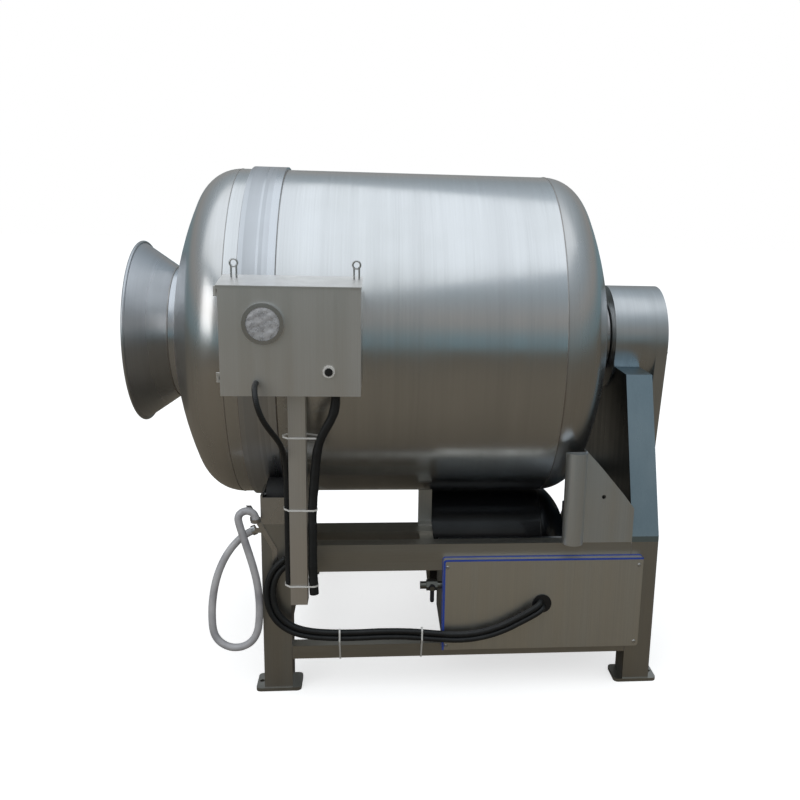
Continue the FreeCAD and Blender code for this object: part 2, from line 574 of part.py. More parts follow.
def valve_lever():
    """The flat lever, hanging down when the valve is closed."""
    y0, y1 = VALVE_Y - 24.0, VALVE_Y - 20.0
    eye = cylinder(10, (VALVE_X, y0, VALVE_Z), (VALVE_X, y1, VALVE_Z))
    arm = box(VALVE_X - 6, VALVE_X + 6, y0, y1, VALVE_Z - LEVER_L, VALVE_Z)
    tip = cylinder(6, (VALVE_X, y0, VALVE_Z - LEVER_L), (VALVE_X, y1, VALVE_Z - LEVER_L))
    return fused([eye, arm, tip]).cut(cylinder(STEM_R + RUN_FIT, (VALVE_X, y0 - 1, VALVE_Z),
                                               (VALVE_X, y1 + 1, VALVE_Z)))


# ---------------------------------------------------------------- control box
def control_post():
    """The upright tube under the control box, welded to the near rail by a short stub."""
    half = POST / 2
    tube = square_tube(POST_X - half, POST_X + half, POST_Y0, POST_Y1, POST_Z0, POST_Z1, 3, 2)
    stub = square_tube(POST_X - 20, POST_X + 20, POST_Y1, -FACE_Y, UPPER_Z0 + 16, UPPER_Z0 + 56, 3, 1)
    return fused([tube, stub])


def roof_z(y):
    """Height of the roof's underside."""
    return BOX_Z1 + BOX_RISE * (y - BOX_Y0) / (BOX_Y1 - BOX_Y0)


def box_profile(x, grow, front):
    """The control box's outline in YZ, with its roof rising to the back."""
    w = grow
    return [(x, front, BOX_Z0 - w), (x, BOX_Y1 + w, BOX_Z0 - w), (x, BOX_Y1 + w, BOX_Z1 + BOX_RISE + w),
            (x, front, BOX_Z1 + w)]


def control_box():
    """A folded box with an open left end for the hatch, its hinge pins, and holes for its fittings."""
    outer = prism(box_profile(BOX_X0, 0, BOX_Y0), (BOX_X1 - BOX_X0, 0, 0))
    w = BOX_WALL
    hollow = prism(box_profile(BOX_X0 - 1, -w, BOX_Y0 + w), (BOX_X1 - BOX_X0 + 1 - w, 0, 0))
    corners = [(y, roof_z(y) + lift) for y, lift in
               ((BOX_Y0 - 5, 0), (BOX_Y1, 0), (BOX_Y1, ROOF_T), (BOX_Y0 - 5, ROOF_T))]
    roof = prism([(BOX_X0 - 4, y, z) for y, z in corners], (BOX_X1 - BOX_X0 + 7, 0, 0))
    y0, y1 = BOX_Y0 - 1, BOX_Y0 + w + 1
    pins = [cylinder(HATCH_PIN_R, (HINGE_X, HINGE_Y, z - 12), (HINGE_X, HINGE_Y, z + 12)) for z in KNUCKLE_ZS]
    knuckles = [piece for z in KNUCKLE_ZS for piece in hinge_parts(z, False)]
    shape = fused([outer.cut(hollow), roof] + knuckles + pins)
    shape = shape.cut(cylinder(GAUGE_STEM_R, (GAUGE_X, y0, GAUGE_Z), (GAUGE_X, y1, GAUGE_Z)))
    shape = shape.cut(cylinder(BUTTON_BODY_R + RUN_FIT, (BUTTON_X, y0, BUTTON_Z), (BUTTON_X, y1, BUTTON_Z)))
    return shape


def hinge_parts(z, of_hatch):
    """Knuckles and leaf of one hinge: the hatch has the middle knuckle, the box the outer two."""
    spans = [(z - 5, z + 5)] if of_hatch else [(z - 12, z - 5.3), (z + 5.3, z + 12)]
    pieces = []
    for z0, z1 in spans:
        pieces.append(cylinder(HATCH_KNUCKLE_R, (HINGE_X, HINGE_Y, z0), (HINGE_X, HINGE_Y, z1)))
        if of_hatch:
            pieces.append(box(HINGE_X - 1, HINGE_X + 1.5, HINGE_Y, BOX_Y0 + 26, z0, z1))
        else:
            pieces.append(box(HINGE_X, BOX_X0, HINGE_Y - 6, HINGE_Y - 4, z0, z1))
    return pieces


def side_hatch():
    """The hatch that closes the box's left end, with its middle knuckles."""
    x1 = BOX_X0 - 0.4
    plate = box(x1 - HATCH_T, x1, BOX_Y0 + 14, BOX_Y1 - 3, BOX_Z0 + 3, BOX_Z1 - 3)
    parts = [plate]
    for z in KNUCKLE_ZS:
        parts += hinge_parts(z, True)
        parts.append(box(HINGE_X - 1, x1, BOX_Y0 + 16, BOX_Y0 + 26, z - 5, z + 5))
    knob = cylinder(8, (x1 - HATCH_T - 7, BOX_Y1 - 18, 1058), (x1 - HATCH_T, BOX_Y1 - 18, 1058))
    shape = fused(parts + [knob])
    for z in KNUCKLE_ZS:
        ends = (HINGE_X, HINGE_Y, z - 6), (HINGE_X, HINGE_Y, z + 6)
        shape = shape.cut(cylinder(HATCH_PIN_R + RUN_FIT, *ends))
    return shape


def lifting_loop(x):
    """One bent-wire loop that stands on the box's roof."""
    y, wire_r = -560.0, 2.4
    z = roof_z(y + wire_r) + ROOF_T
    ring = Part.makeTorus(9.5, 2.5, V(x, y, z + 36), V(0, 1, 0))
    stalks = [cylinder(wire_r, (x + dx, y, z), (x + dx, y, z + 31)) for dx in (-6.5, 6.5)]
    return fused([ring] + stalks)


def gauge_case():
    """The dial gauge: a rimmed case with its back stem and the needle's pivot."""
    y = BOX_Y0
    case = cylinder(GAUGE_R, (GAUGE_X, y - GAUGE_DEPTH, GAUGE_Z), (GAUGE_X, y, GAUGE_Z))
    case = case.cut(cylinder(DIAL_R, (GAUGE_X, y - GAUGE_DEPTH - 1, GAUGE_Z), (GAUGE_X, y - 3, GAUGE_Z)))
    stem = cylinder(GAUGE_STEM_R, (GAUGE_X, y, GAUGE_Z), (GAUGE_X, y + 34, GAUGE_Z))
    pivot = cylinder(1.5, (GAUGE_X, y - 9, GAUGE_Z), (GAUGE_X, y - 3, GAUGE_Z))
    return fused([case, stem, pivot])


def gauge_needle():
    """The needle at zero, pointing down to the left."""
    y0, y1 = BOX_Y0 - 7.4, BOX_Y0 - 6.0
    hub = cylinder(5, (GAUGE_X, y0, GAUGE_Z), (GAUGE_X, y1, GAUGE_Z))
    a = math.radians(225)
    tip = V(math.cos(a), 0, math.sin(a))
    side = V(-tip.z, 0, tip.x)
    centre = V(GAUGE_X, y0, GAUGE_Z)
    corners = [centre + side * 3 - tip * 12, centre + side * 0.8 + tip * 33, centre - side * 0.8 + tip * 33,
               centre - side * 3 - tip * 12]
    blade = prism([tuple(p) for p in corners], (0, y1 - y0, 0))
    bore = cylinder(1.5 + RUN_FIT, (GAUGE_X, y0 - 1, GAUGE_Z), (GAUGE_X, y1 + 1, GAUGE_Z))
    return fused([hub, blade]).cut(bore)


def button_bezel():
    y = BOX_Y0
    rim = cylinder(BUTTON_R, (BUTTON_X, y - 6, BUTTON_Z), (BUTTON_X, y, BUTTON_Z))
    body = cylinder(BUTTON_BODY_R, (BUTTON_X, y, BUTTON_Z), (BUTTON_X, y + 38, BUTTON_Z))
    bore = cylinder(CAP_R + RUN_FIT, (BUTTON_X, y - 7, BUTTON_Z), (BUTTON_X, y + 6, BUTTON_Z))
    return fused([rim, body]).cut(bore)


def button_cap():
    y = BOX_Y0
    return cylinder(CAP_R, (BUTTON_X, y - 8.5, BUTTON_Z), (BUTTON_X, y + 1.5, BUTTON_Z))


# ---------------------------------------------------------------- hoses
def beside(points, shift):
    """A route beside another, moved in the XZ plane square to its own direction."""
    moved = []
    for i, p in enumerate(points):
        before, after = points[max(i - 1, 0)], points[min(i + 1, len(points) - 1)]
        way = V(after[0] - before[0], 0, after[2] - before[2])
        way.normalize()
        moved.append((p[0] - way.z * shift, p[1], p[2] + way.x * shift))
    return moved


def routed(points, radius, name):
    """A plain tube through points: straight runs joined by tangent arcs."""
    pts = [V(*p) for p in points]
    edges, radii, start = [], [], pts[0]
    for before, corner, after in zip(pts, pts[1:], pts[2:]):
        way_in, way_out = corner - before, after - corner
        run = min(way_in.Length, way_out.Length)
        way_in.normalize()
        way_out.normalize()
        half = math.acos(max(-1.0, min(1.0, way_in.dot(way_out)))) / 2
        if half < 0.004:
            continue
        bend = 0.45 * run / math.tan(half)
        back = 0.45 * run
        p, q = corner - way_in * back, corner + way_out * back
        inward = way_out - way_in
        inward.normalize()
        middle = corner + inward * (bend / math.cos(half) - bend)
        edges += [line(start, p), Part.Arc(p, middle, q).toShape()]
        radii.append(round(bend))
        start = q
    edges.append(line(start, pts[-1]))
    path = Part.Wire(edges)
    section = Part.Wire(Part.makeCircle(radius, pts[0], pts[1] - pts[0]))
    tube = path.makePipeShell([section], True, True)
    length = sum(e.Length for e in edges)
    print(f"{name}: length {length:.0f}, radii {radii}, volume share "
          f"{tube.Volume / (math.pi * radius ** 2 * length):.4f}, valid {tube.isValid()}")
    return tube


def lead(side):
    """One of the two leads that run side by side from the near rail into the gland."""
    name = "cabinet_lead_high" if side > 0 else "cabinet_lead_low"
    return routed(beside(LEAD_ROUTE, side * LEAD_APART / 2), LEAD_R, name)


def hose_bracket():
    """A bent flat bar on the near front leg, with the two clips that hold the hose."""
    y = -FACE_Y
    outline = [(-543, 352), (-529, 352), (-529, 441), (-598, 570), (-612, 570), (-543, 437)]
    flat = prism([(x, y, z) for x, z in outline], (0, -3, 0))
    clips, bores = [], []
    for a, b in ((HOSE_LOOP[0], HOSE_LOOP[1]), (HOSE_LOOP[-1], HOSE_LOOP[-2])):
        start, way = V(*a), V(*b) - V(*a)
        way.normalize()
        clips.append(Part.makeCylinder(HOSE_R + 3.5, 11, start - way, way))
        bores.append(Part.makeCylinder(HOSE_R, 16, start, way))
    x, hose_y, z = HOSE_LOOP[-1]
    foot = box(x - 17, x + 6, hose_y + HOSE_R - 1, y - 3, z - 2, z + 9)
    ear = box(HOSE_LOOP[0][0], -566, y - 3, y, 490, 504)
    shape = fused([flat, foot, ear] + clips)
    return shape.cut(bores[0]).cut(bores[1])


# ---------------------------------------------------------------- the part
def nodes():
    """Every node's name and shape."""
    top = {-1: FRONT_LEG_TOP, 1: REAR_LEG_TOP}
    parts = {
        "drum_shell": drum_shell(),
        "drum_front_head": dished_end(FRONT_DISH, NECK_R),
        "drum_rear_head": dished_end(REAR_DISH, SHAFT_R),
        "riding_ring": ring_x(RING_R, DRUM_R, RING_X0, RING_X1),
        "neck_collar": ring_x(NECK_R, NECK_R - NECK_WALL, NECK_X0, NECK_X1),
        "loading_cone": loading_cone(),
        "mixing_flights": Part.makeCompound([mixing_flight(i) for i in range(FLIGHT_COUNT)]),
        "hub_shaft": hub_shaft(),
        "driven_sprocket": sprocket(BIG_TEETH, SHAFT_R, AXIS_Z),
        "lid_disc": lid_disc(),
        "lid_seal": lid_seal(),
        "lid_grip": lid_grip(),
        "cross_rail_front_upper": cross_rail(-LEG_X, UPPER_Z0, UPPER_Z1),
        "cross_rail_front_lower": cross_rail(-LEG_X, LOWER_Z0, LOWER_Z1),
        "cross_rail_rear_upper": cross_rail(LEG_X, UPPER_Z0, UPPER_Z1),
        "cross_rail_rear_lower": cross_rail(LEG_X, LOWER_Z0, LOWER_Z1),
        "inner_rail": inner_rail(),
        "sensor_stand": sensor_stand(),
        "tank_cradles": Part.makeCompound([cradle(x) for x in CRADLE_XS]),
        "vacuum_tank": tank(),
        "pedestal": pedestal(),
        "bearing_housing": bearing_housing(),
        "shaft_bearings": shaft_bearings(),
        "chain_cover": chain_cover(),
        "gearmotor": gearmotor(),
        "drive_pinion": drive_pinion(),
        "drive_guard": drive_guard(),
        "cabinet_body": cabinet_body(),
        "cabinet_panel": cabinet_panel(),
        "cabinet_gasket": cabinet_gasket(),
        "cabinet_gland": cabinet_gland(),
        "cover_screws": cover_screws(),
        "valve_body": valve_body(),
        "valve_lever": valve_lever(),
        "control_post": control_post(),
        "control_box": control_box(),
        "side_hatch": side_hatch(),
        "lifting_loops": Part.makeCompound([lifting_loop(x) for x in (-609.0, -305.0)]),
        "gauge_case": gauge_case(),
        "gauge_needle": gauge_needle(),
        "button_bezel": button_bezel(),
        "button_cap": button_cap(),
        "hose_bracket": hose_bracket(),
        "hose_loop": routed(HOSE_LOOP, HOSE_R, "hose_loop"),
        "conduit_thin": routed(THIN_ROUTE, THIN_R, "conduit_thin"),
        "conduit_thick": routed(THICK_ROUTE, THICK_R, "conduit_thick"),
        "cabinet_lead_low": lead(-1),
        "cabinet_lead_high": lead(1),
    }
    for side, word in ((-1, "near"), (1, "far")):
        parts[f"leg_front_{word}"] = leg(-1, side, top[-1])
        parts[f"leg_rear_{word}"] = leg(1, side, top[1])
        parts[f"rail_upper_{word}"] = long_rail(side, UPPER_Z0, UPPER_Z1)
        parts[f"rail_lower_{word}"] = long_rail(side, LOWER_Z0, LOWER_Z1)
        parts[f"roller_bracket_{word}"] = roller_bracket(side)
        parts[f"roller_{word}"] = roller(side)
    return parts


os.makedirs("parts", exist_ok=True)
for name, shape in nodes().items():
    if not shape.isValid() or not shape.Solids:
        print("bad shape:", name, shape.ShapeType)
    shape.exportStep(f"parts/{name}.step")
    b = shape.BoundBox
    print(f"{name}: {len(shape.Solids)} solids, volume {shape.Volume / 1000:.0f} cm3, "
          f"x {b.XMin:.1f} {b.XMax:.1f} y {b.YMin:.1f} {b.YMax:.1f} z {b.ZMin:.1f} {b.ZMax:.1f}")
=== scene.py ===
import logging
import math
from dataclasses import dataclass, field
from enum import Enum
from typing import Callable, Sequence

import bmesh
import bpy
from mathutils import Matrix, Vector


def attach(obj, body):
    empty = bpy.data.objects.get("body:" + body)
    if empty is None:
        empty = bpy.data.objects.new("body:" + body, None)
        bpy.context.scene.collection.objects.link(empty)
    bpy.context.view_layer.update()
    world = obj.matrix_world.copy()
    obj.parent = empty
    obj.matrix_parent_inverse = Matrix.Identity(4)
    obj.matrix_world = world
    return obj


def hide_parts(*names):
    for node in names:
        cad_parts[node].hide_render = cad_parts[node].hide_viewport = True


Point = tuple[float, float, float]
Colour = tuple[float, float, float]

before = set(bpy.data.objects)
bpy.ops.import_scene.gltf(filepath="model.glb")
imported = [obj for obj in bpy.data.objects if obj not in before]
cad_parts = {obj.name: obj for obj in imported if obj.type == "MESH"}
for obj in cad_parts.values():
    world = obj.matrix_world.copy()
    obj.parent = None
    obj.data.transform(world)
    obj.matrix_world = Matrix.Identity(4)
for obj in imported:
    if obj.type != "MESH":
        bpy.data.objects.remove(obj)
LOG = logging.getLogger("tumbler")
MM = 0.001
AXIS_Z = 0.990                 # height of the drum's axis
DRUM_R = 0.500


class Body(str, Enum):
    """The moving bodies that pieces ride on."""

    FRAME = "frame"
    DRUM = "drum"
    LID = "lid"


class Slot(str, Enum):
    """The record's material slots, passed along with new pieces but not applied here."""

    DRUM = "drum"
    FRAME = "frame"
    HOUSING = "housing"
    CABINET = "cabinet"
    PLATED = "plated"
    TANK = "tank"
    PLASTIC = "plastic"
    BEZEL = "bezel"
    HOSE = "hose"
    CONDUIT = "conduit"
    NEEDLE = "needle"


# ------------------------------------------------------------------ shader trees
class Shade:
    """A shader tree under construction, with one Principled surface."""

    def __init__(self, name: str) -> None:
        """Starts an empty material called name."""
        self.material = bpy.data.materials.new(name)
        self.material.use_nodes = True
        self.tree = self.material.node_tree
        self.tree.nodes.clear()
        self.output = self.tree.nodes.new("ShaderNodeOutputMaterial")
        self.surface = self.tree.nodes.new("ShaderNodeBsdfPrincipled")
        self.tree.links.new(self.surface.outputs[0], self.output.inputs[0])

    def put(self, target: bpy.types.NodeSocket, value: object) -> None:
        """Links a socket to target, or sets its value.

        Args:
            target: the input socket.
            value: another node's output, a number, or a colour or vector.
        """
        if isinstance(value, bpy.types.NodeSocket):
            self.tree.links.new(value, target)
        elif target.type == "RGBA":
            target.default_value = (*value[:3], 1.0)
        else:
            target.default_value = value

    def node(self, kind: str, settings: dict | None = None, **inputs: object) -> bpy.types.Node:
        """Adds a node.

        Args:
            kind: the node's type name.
            settings: properties of the node.
            inputs: socket names, with underscores for spaces, and their values.

        Returns:
            The new node.
        """
        made = self.tree.nodes.new(kind)
        for key, value in (settings or {}).items():
            setattr(made, key, value)
        for key, value in inputs.items():
            self.put(made.inputs[key.replace("_", " ")], value)
        return made

    def where(self, scale: Point = (1, 1, 1), centre: Point = (0, 0, 0)) -> bpy.types.NodeSocket:
        """Object coordinates, moved so that centre is the origin and then stretched by scale."""
        coords = self.node("ShaderNodeTexCoord").outputs["Object"]
        moved = self.node("ShaderNodeVectorMath", {"operation": "SUBTRACT"})
        self.put(moved.inputs[0], coords)
        self.put(moved.inputs[1], centre)
        scaled = self.node("ShaderNodeVectorMath", {"operation": "MULTIPLY"})
        self.put(scaled.inputs[0], moved.outputs[0])
        self.put(scaled.inputs[1], scale)
        return scaled.outputs[0]

    def noise(self, scale: Point, detail: float = 3.0, rough: float = 0.5,
              centre: Point = (0, 0, 0)) -> bpy.types.NodeSocket:
        """Noise whose grain is stretched by scale, in waves per metre."""
        made = self.node("ShaderNodeTexNoise", Vector=self.where(scale, centre), Scale=1.0,
                         Detail=detail, Roughness=rough)
        return made.outputs["Fac"]

    def sum(self, operation: str, a: object, b: object) -> bpy.types.NodeSocket:
        """One Math node."""
        made = self.node("ShaderNodeMath", {"operation": operation})
        self.put(made.inputs[0], a)
        self.put(made.inputs[1], b)
        return made.outputs[0]

    def span(self, value: bpy.types.NodeSocket, low: float, high: float, to_low: float = 0.0,
             to_high: float = 1.0) -> bpy.types.NodeSocket:
        """Maps a value from one span to another, clamped."""
        made = self.node("ShaderNodeMapRange", Value=value, From_Min=low, From_Max=high, To_Min=to_low,
                         To_Max=to_high)
        return made.outputs[0]

    def blend(self, factor: object, a: object, b: object, way: str = "MIX") -> bpy.types.NodeSocket:
        """Mixes two colours."""
        made = self.node("ShaderNodeMix", {"data_type": "RGBA", "blend_type": way})
        self.put(made.inputs[0], factor)
        self.put(made.inputs[6], a)
        self.put(made.inputs[7], b)
        return made.outputs[2]

    def relief(self, height: object, depth: float, strength: float = 1.0) -> None:
        """Gives the surface a bump.

        Args:
            height: the height field, 0 to 1.
            depth: the real depth in metres.
            strength: how strongly it shows.
        """
        bump = self.node("ShaderNodeBump", Height=height, Distance=depth, Strength=strength)
        self.put(self.surface.inputs["Normal"], bump.outputs[0])

    def finish(self, **inputs: object) -> bpy.types.Material:
        """Sets the surface's own inputs and returns the material."""
        for key, value in inputs.items():
            self.put(self.surface.inputs[key.replace("_", " ")], value)
        return self.material


# ------------------------------------------------------------------ finishes
@dataclass(frozen=True)
class Steel:
    """Brushed stainless sheet.

    grain says how quickly the brushing changes along X, Y and Z, per metre, so it lies along the
    direction with the smallest number.
    """

    name: str
    colour: Colour
    tarnish: Colour
    grain: Point
    roughness: float = 0.30
    spread: float = 0.10
    cloud: float = 2.4
    scratch: float = 0.00004
    bands: tuple[tuple[float, float, float], ...] = ()
    # painted shade: how strongly faces turned towards -X darken towards navy black, standing in for the shadow on that
    # side
    painted_shade_side: float = 0.0

    def material(self) -> bpy.types.Material:
        """Builds the node material."""
        shade = Shade(self.name)
        fine = shade.noise(self.grain, 4.0, 0.6)
        broad = shade.noise(tuple(g / 14.0 for g in self.grain), 2.0, 0.5)
        cloud = shade.noise((self.cloud, self.cloud, self.cloud), 4.0, 0.55, (0.3, 0.2, 0.1))
        stain = shade.span(cloud, 0.40, 0.68)
        colour = shade.blend(stain, self.colour, self.tarnish)
        colour = shade.blend(shade.span(broad, 0.38, 0.66, 0.0, 0.30), colour,
                             tuple(c * 0.72 for c in self.colour))
        colour = shade.blend(shade.span(fine, 0.30, 0.72, 0.0, 0.22), colour,
                             tuple(min(1.0, c * 1.25) for c in self.colour))
        rough = shade.span(broad, 0.35, 0.65, self.roughness - self.spread / 2,
                           self.roughness + self.spread / 2)
        rough = shade.sum("ADD", rough, shade.span(stain, 0.0, 1.0, 0.0, self.spread))
        if self.bands:
            along = shade.node("ShaderNodeSeparateXYZ", Vector=shade.where()).outputs[0]
            for low, high, lift in self.bands:
                inside = shade.sum("MULTIPLY", shade.sum("GREATER_THAN", along, low),
                                   shade.sum("LESS_THAN", along, high))
                rough = shade.sum("ADD", rough, shade.sum("MULTIPLY", inside, lift))
                colour = shade.blend(shade.sum("MULTIPLY", inside, 0.35), colour,
                                     tuple(c * (0.7 if lift > 0 else 1.2) for c in self.colour))
        # Painted shade: faces turned towards -X are darkened towards navy black, standing in for the shadow on that
        # side.
        if self.painted_shade_side:
            facing = shade.node("ShaderNodeSeparateXYZ", Vector=shade.node("ShaderNodeTexCoord").outputs["Normal"])
            end = shade.span(facing.outputs[0], -0.9, -0.5, self.painted_shade_side, 0.0)
            colour = shade.blend(end, colour, (0.012, 0.016, 0.030))
        shade.relief(shade.sum("ADD", fine, shade.sum("MULTIPLY", broad, 0.5)), self.scratch, 0.6)
        return shade.finish(Base_Color=colour, Metallic=1.0, Roughness=rough)


@dataclass(frozen=True)
class Paint:
    """Painted or moulded surface with a faint orange-peel and dust."""

    name: str
    colour: Colour
    dust: Colour
    roughness: float = 0.4
    metallic: float = 0.0
    coat: float = 0.0
    peel: float = 0.00006
    peel_scale: float = 420.0

    def material(self) -> bpy.types.Material:
        """Builds the node material."""
        shade = Shade(self.name)
        dust = shade.span(shade.noise((7.0, 7.0, 3.0), 5.0, 0.6), 0.46, 0.74, 0.0, 0.5)
        peel = shade.noise((self.peel_scale,) * 3, 2.0, 0.5)
        rough = shade.span(shade.noise((11.0, 11.0, 5.0), 4.0), 0.35, 0.7, self.roughness,
                           min(1.0, self.roughness + 0.14))
        shade.relief(peel, self.peel, 0.5)
        return shade.finish(Base_Color=shade.blend(dust, self.colour, self.dust), Metallic=self.metallic,
                            Roughness=rough, Coat_Weight=self.coat, Coat_Roughness=0.08)


@dataclass(frozen=True)
class Pvc:
    """Soft milky hose with a faint haze inside, and painted shade darkening it towards its outline."""

    name: str = "milky_pvc"
    colour: Colour = (0.62, 0.62, 0.64)
    haze: Colour = (0.42, 0.42, 0.45)

    def material(self) -> bpy.types.Material:
        """Builds the node material."""
        shade = Shade(self.name)
        haze = shade.span(shade.noise((16.0, 16.0, 16.0), 4.0), 0.4, 0.7)
        # Painted shade: the colour darkens towards grey where the hose turns away from the view, towards its outline.
        edge = shade.node("ShaderNodeLayerWeight", Blend=0.35).outputs["Facing"]
        colour = shade.blend(haze, self.colour, self.haze)
        colour = shade.blend(shade.sum("MULTIPLY", edge, 0.45), colour, (0.30, 0.30, 0.33))
        shade.relief(shade.noise((90.0, 90.0, 90.0), 2.0), 0.0001, 0.3)
        return shade.finish(Base_Color=colour, Roughness=0.32, Coat_Weight=0.35, Coat_Roughness=0.15)


@dataclass(frozen=True)
class Film:
    """Thin creased protective film, clear with a tint, with painted shade on one flank of each crease."""

    name: str
    colour: Colour
    clear: float = 0.55
    crease: float = 70.0

    def material(self) -> bpy.types.Material:
        """Builds the node material."""
        shade = Shade(self.name)
        wave = shade.noise((self.crease,) * 3, 4.0, 0.65)
        sharp = shade.sum("ABSOLUTE", shade.sum("SUBTRACT", wave, 0.5), 0.0)
        # Painted shade: the colour darkens on one flank of each crease, following the same wave as the bump.
        colour = shade.blend(shade.span(wave, 0.40, 0.62), self.colour,
                             tuple(c * 0.60 for c in self.colour))
        shade.relief(sharp, 0.0015, 0.6)
        return shade.finish(Base_Color=colour, Roughness=0.16, Alpha=1.0 - self.clear,
                            Coat_Weight=0.5, Coat_Roughness=0.05)


@dataclass(frozen=True)
class Glass:
    """Clear gauge window."""

    name: str = "window_glass"

    def material(self) -> bpy.types.Material:
        """Builds the node material."""
        shade = Shade(self.name)
        rough = shade.span(shade.noise((60.0,) * 3, 3.0), 0.4, 0.7, 0.02, 0.09)
        return shade.finish(Base_Color=(0.95, 0.97, 1.0), Roughness=rough, Alpha=0.16, IOR=1.45)


RINGED = (260.0, 3.0, 3.0)           # brushing round the drum's axis
UPRIGHT = (380.0, 380.0, 3.0)        # brushing along Z
LENGTHWISE = (3.0, 380.0, 380.0)     # brushing along X
CROSSWISE = (380.0, 3.0, 380.0)      # brushing along Y


@dataclass
class Finishes:
    """Every finish of the machine, built once."""

    made: dict[str, bpy.types.Material] = field(default_factory=dict)

    def add(self, finish: object) -> bpy.types.Material:
        """Builds a finish the first time that it is asked for."""
        if finish.name not in self.made:
            self.made[finish.name] = finish.material()
        return self.made[finish.name]


SHELL = Steel("shell_steel", (0.66, 0.67, 0.68), (0.60, 0.61, 0.61), RINGED, 0.20, 0.05)
HEAD = Steel("head_steel", (0.62, 0.62, 0.62), (0.54, 0.53, 0.51), (170.0, 4.0, 4.0), 0.26, 0.08)
RING = Steel("ring_steel", (0.58, 0.60, 0.63), (0.48, 0.49, 0.51), RINGED, 0.30, 0.08,
             bands=((-0.606, -0.572, 0.10), (-0.566, -0.556, 0.12), (-0.541, -0.521, -0.08)))
CONE = Steel("cone_steel", (0.55, 0.57, 0.60), (0.42, 0.44, 0.47), (200.0, 3.0, 3.0), 0.27, 0.10)
WELD = Steel("weld_steel", (0.44, 0.43, 0.42), (0.30, 0.25, 0.22), (240.0, 240.0, 240.0), 0.38, 0.14)
TUBE_X = Steel("tube_steel_lengthwise", (0.50, 0.48, 0.44), (0.40, 0.38, 0.34), LENGTHWISE, 0.36, 0.10)
TUBE_Y = Steel("tube_steel_crosswise", (0.50, 0.48, 0.44), (0.40, 0.38, 0.34), CROSSWISE, 0.36, 0.10)
TUBE_Z = Steel("tube_steel_upright", (0.49, 0.48, 0.45), (0.38, 0.37, 0.35), UPRIGHT, 0.36, 0.10)
POST = Steel("post_steel", (0.84, 0.80, 0.77), (0.74, 0.71, 0.68), UPRIGHT, 0.38, 0.08)
# the pedestal gets painted shade on its faces turned towards -X
PEDESTAL = Steel("pedestal_steel", (0.34, 0.44, 0.50), (0.26, 0.35, 0.41), UPRIGHT, 0.30, 0.08, painted_shade_side=0.85)
HOUSING = Steel("housing_steel", (0.58, 0.60, 0.61), (0.47, 0.48, 0.49), RINGED, 0.29, 0.08)
BOX = Steel("box_steel", (0.88, 0.85, 0.82), (0.80, 0.77, 0.74), UPRIGHT, 0.37, 0.08)
PANEL = Steel("panel_steel", (0.76, 0.74, 0.68), (0.66, 0.64, 0.60), UPRIGHT, 0.38, 0.08, 1.6)
CABINET = Steel("cabinet_steel", (0.46, 0.48, 0.49), (0.37, 0.39, 0.41), UPRIGHT, 0.34, 0.10)
GUARD = Steel("guard_steel", (0.80, 0.84, 0.87), (0.66, 0.70, 0.73), UPRIGHT, 0.30, 0.10)
PLATED = Steel("plated_steel", (0.66, 0.66, 0.66), (0.50, 0.50, 0.49), (90.0, 90.0, 90.0), 0.24, 0.10)
VALVE_STEEL = Steel("valve_steel", (0.22, 0.22, 0.20), (0.15, 0.15, 0.13), (90.0, 90.0, 90.0), 0.36, 0.10)
CHAIN_IRON = Steel("oiled_iron", (0.16, 0.15, 0.15), (0.08, 0.08, 0.08), (120.0, 120.0, 120.0), 0.42, 0.12)
TANK_PAINT = Paint("tank_paint", (0.006, 0.006, 0.008), (0.020, 0.020, 0.022), 0.30, coat=0.4)
MOTOR_PAINT = Paint("motor_paint", (0.05, 0.09, 0.13), (0.14, 0.15, 0.16), 0.42)
LEVER_PAINT = Paint("lever_dip", (0.015, 0.015, 0.022), (0.05, 0.05, 0.05), 0.40)
NYLON = Paint("black_nylon", (0.012, 0.012, 0.013), (0.05, 0.05, 0.05), 0.50, peel=0.0002)
RUBBER = Paint("white_rubber", (0.66, 0.66, 0.63), (0.52, 0.50, 0.47), 0.60, peel=0.0001)
BLUE_EDGE = Paint("blue_edge", (0.030, 0.075, 0.42), (0.10, 0.16, 0.45), 0.34)
BLACK_PLASTIC = Paint("black_plastic", (0.010, 0.010, 0.011), (0.035, 0.035, 0.035), 0.36)
WHITE_PLASTIC = Paint("white_plastic", (0.74, 0.73, 0.70), (0.60, 0.59, 0.57), 0.34)
TIE = Paint("tie_nylon", (0.80, 0.80, 0.78), (0.66, 0.66, 0.64), 0.35)
CONDUIT = Paint("black_conduit", (0.008, 0.009, 0.010), (0.030, 0.032, 0.034), 0.34, peel=0.0006,
                peel_scale=60.0)
DIAL = Paint("dial_face", (0.70, 0.70, 0.70), (0.62, 0.62, 0.62), 0.55, peel=0.00002)
INK = Paint("dial_ink", (0.02, 0.02, 0.02), (0.05, 0.05, 0.05), 0.6)


# ------------------------------------------------------------------ meshes
def mesh_object(name: str, shape: bmesh.types.BMesh, material: bpy.types.Material,
                smooth: bool = True) -> bpy.types.Object:
    """Turns a bmesh into a linked object with outward faces.

    Args:
        name: the piece's name.
        shape: the closed or open mesh; it is freed.
        material: its finish.
        smooth: whether faces are shaded smooth.

    Returns:
        The new object.
    """
    bmesh.ops.remove_doubles(shape, verts=shape.verts, dist=1e-6)
    bmesh.ops.recalc_face_normals(shape, faces=shape.faces)
    mesh = bpy.data.meshes.new(name)
    shape.to_mesh(mesh)
    shape.free()
    mesh.polygons.foreach_set("use_smooth", [smooth] * len(mesh.polygons))
    mesh.materials.append(material)
    made = bpy.data.objects.new(name, mesh)
    bpy.context.scene.collection.objects.link(made)
    return made


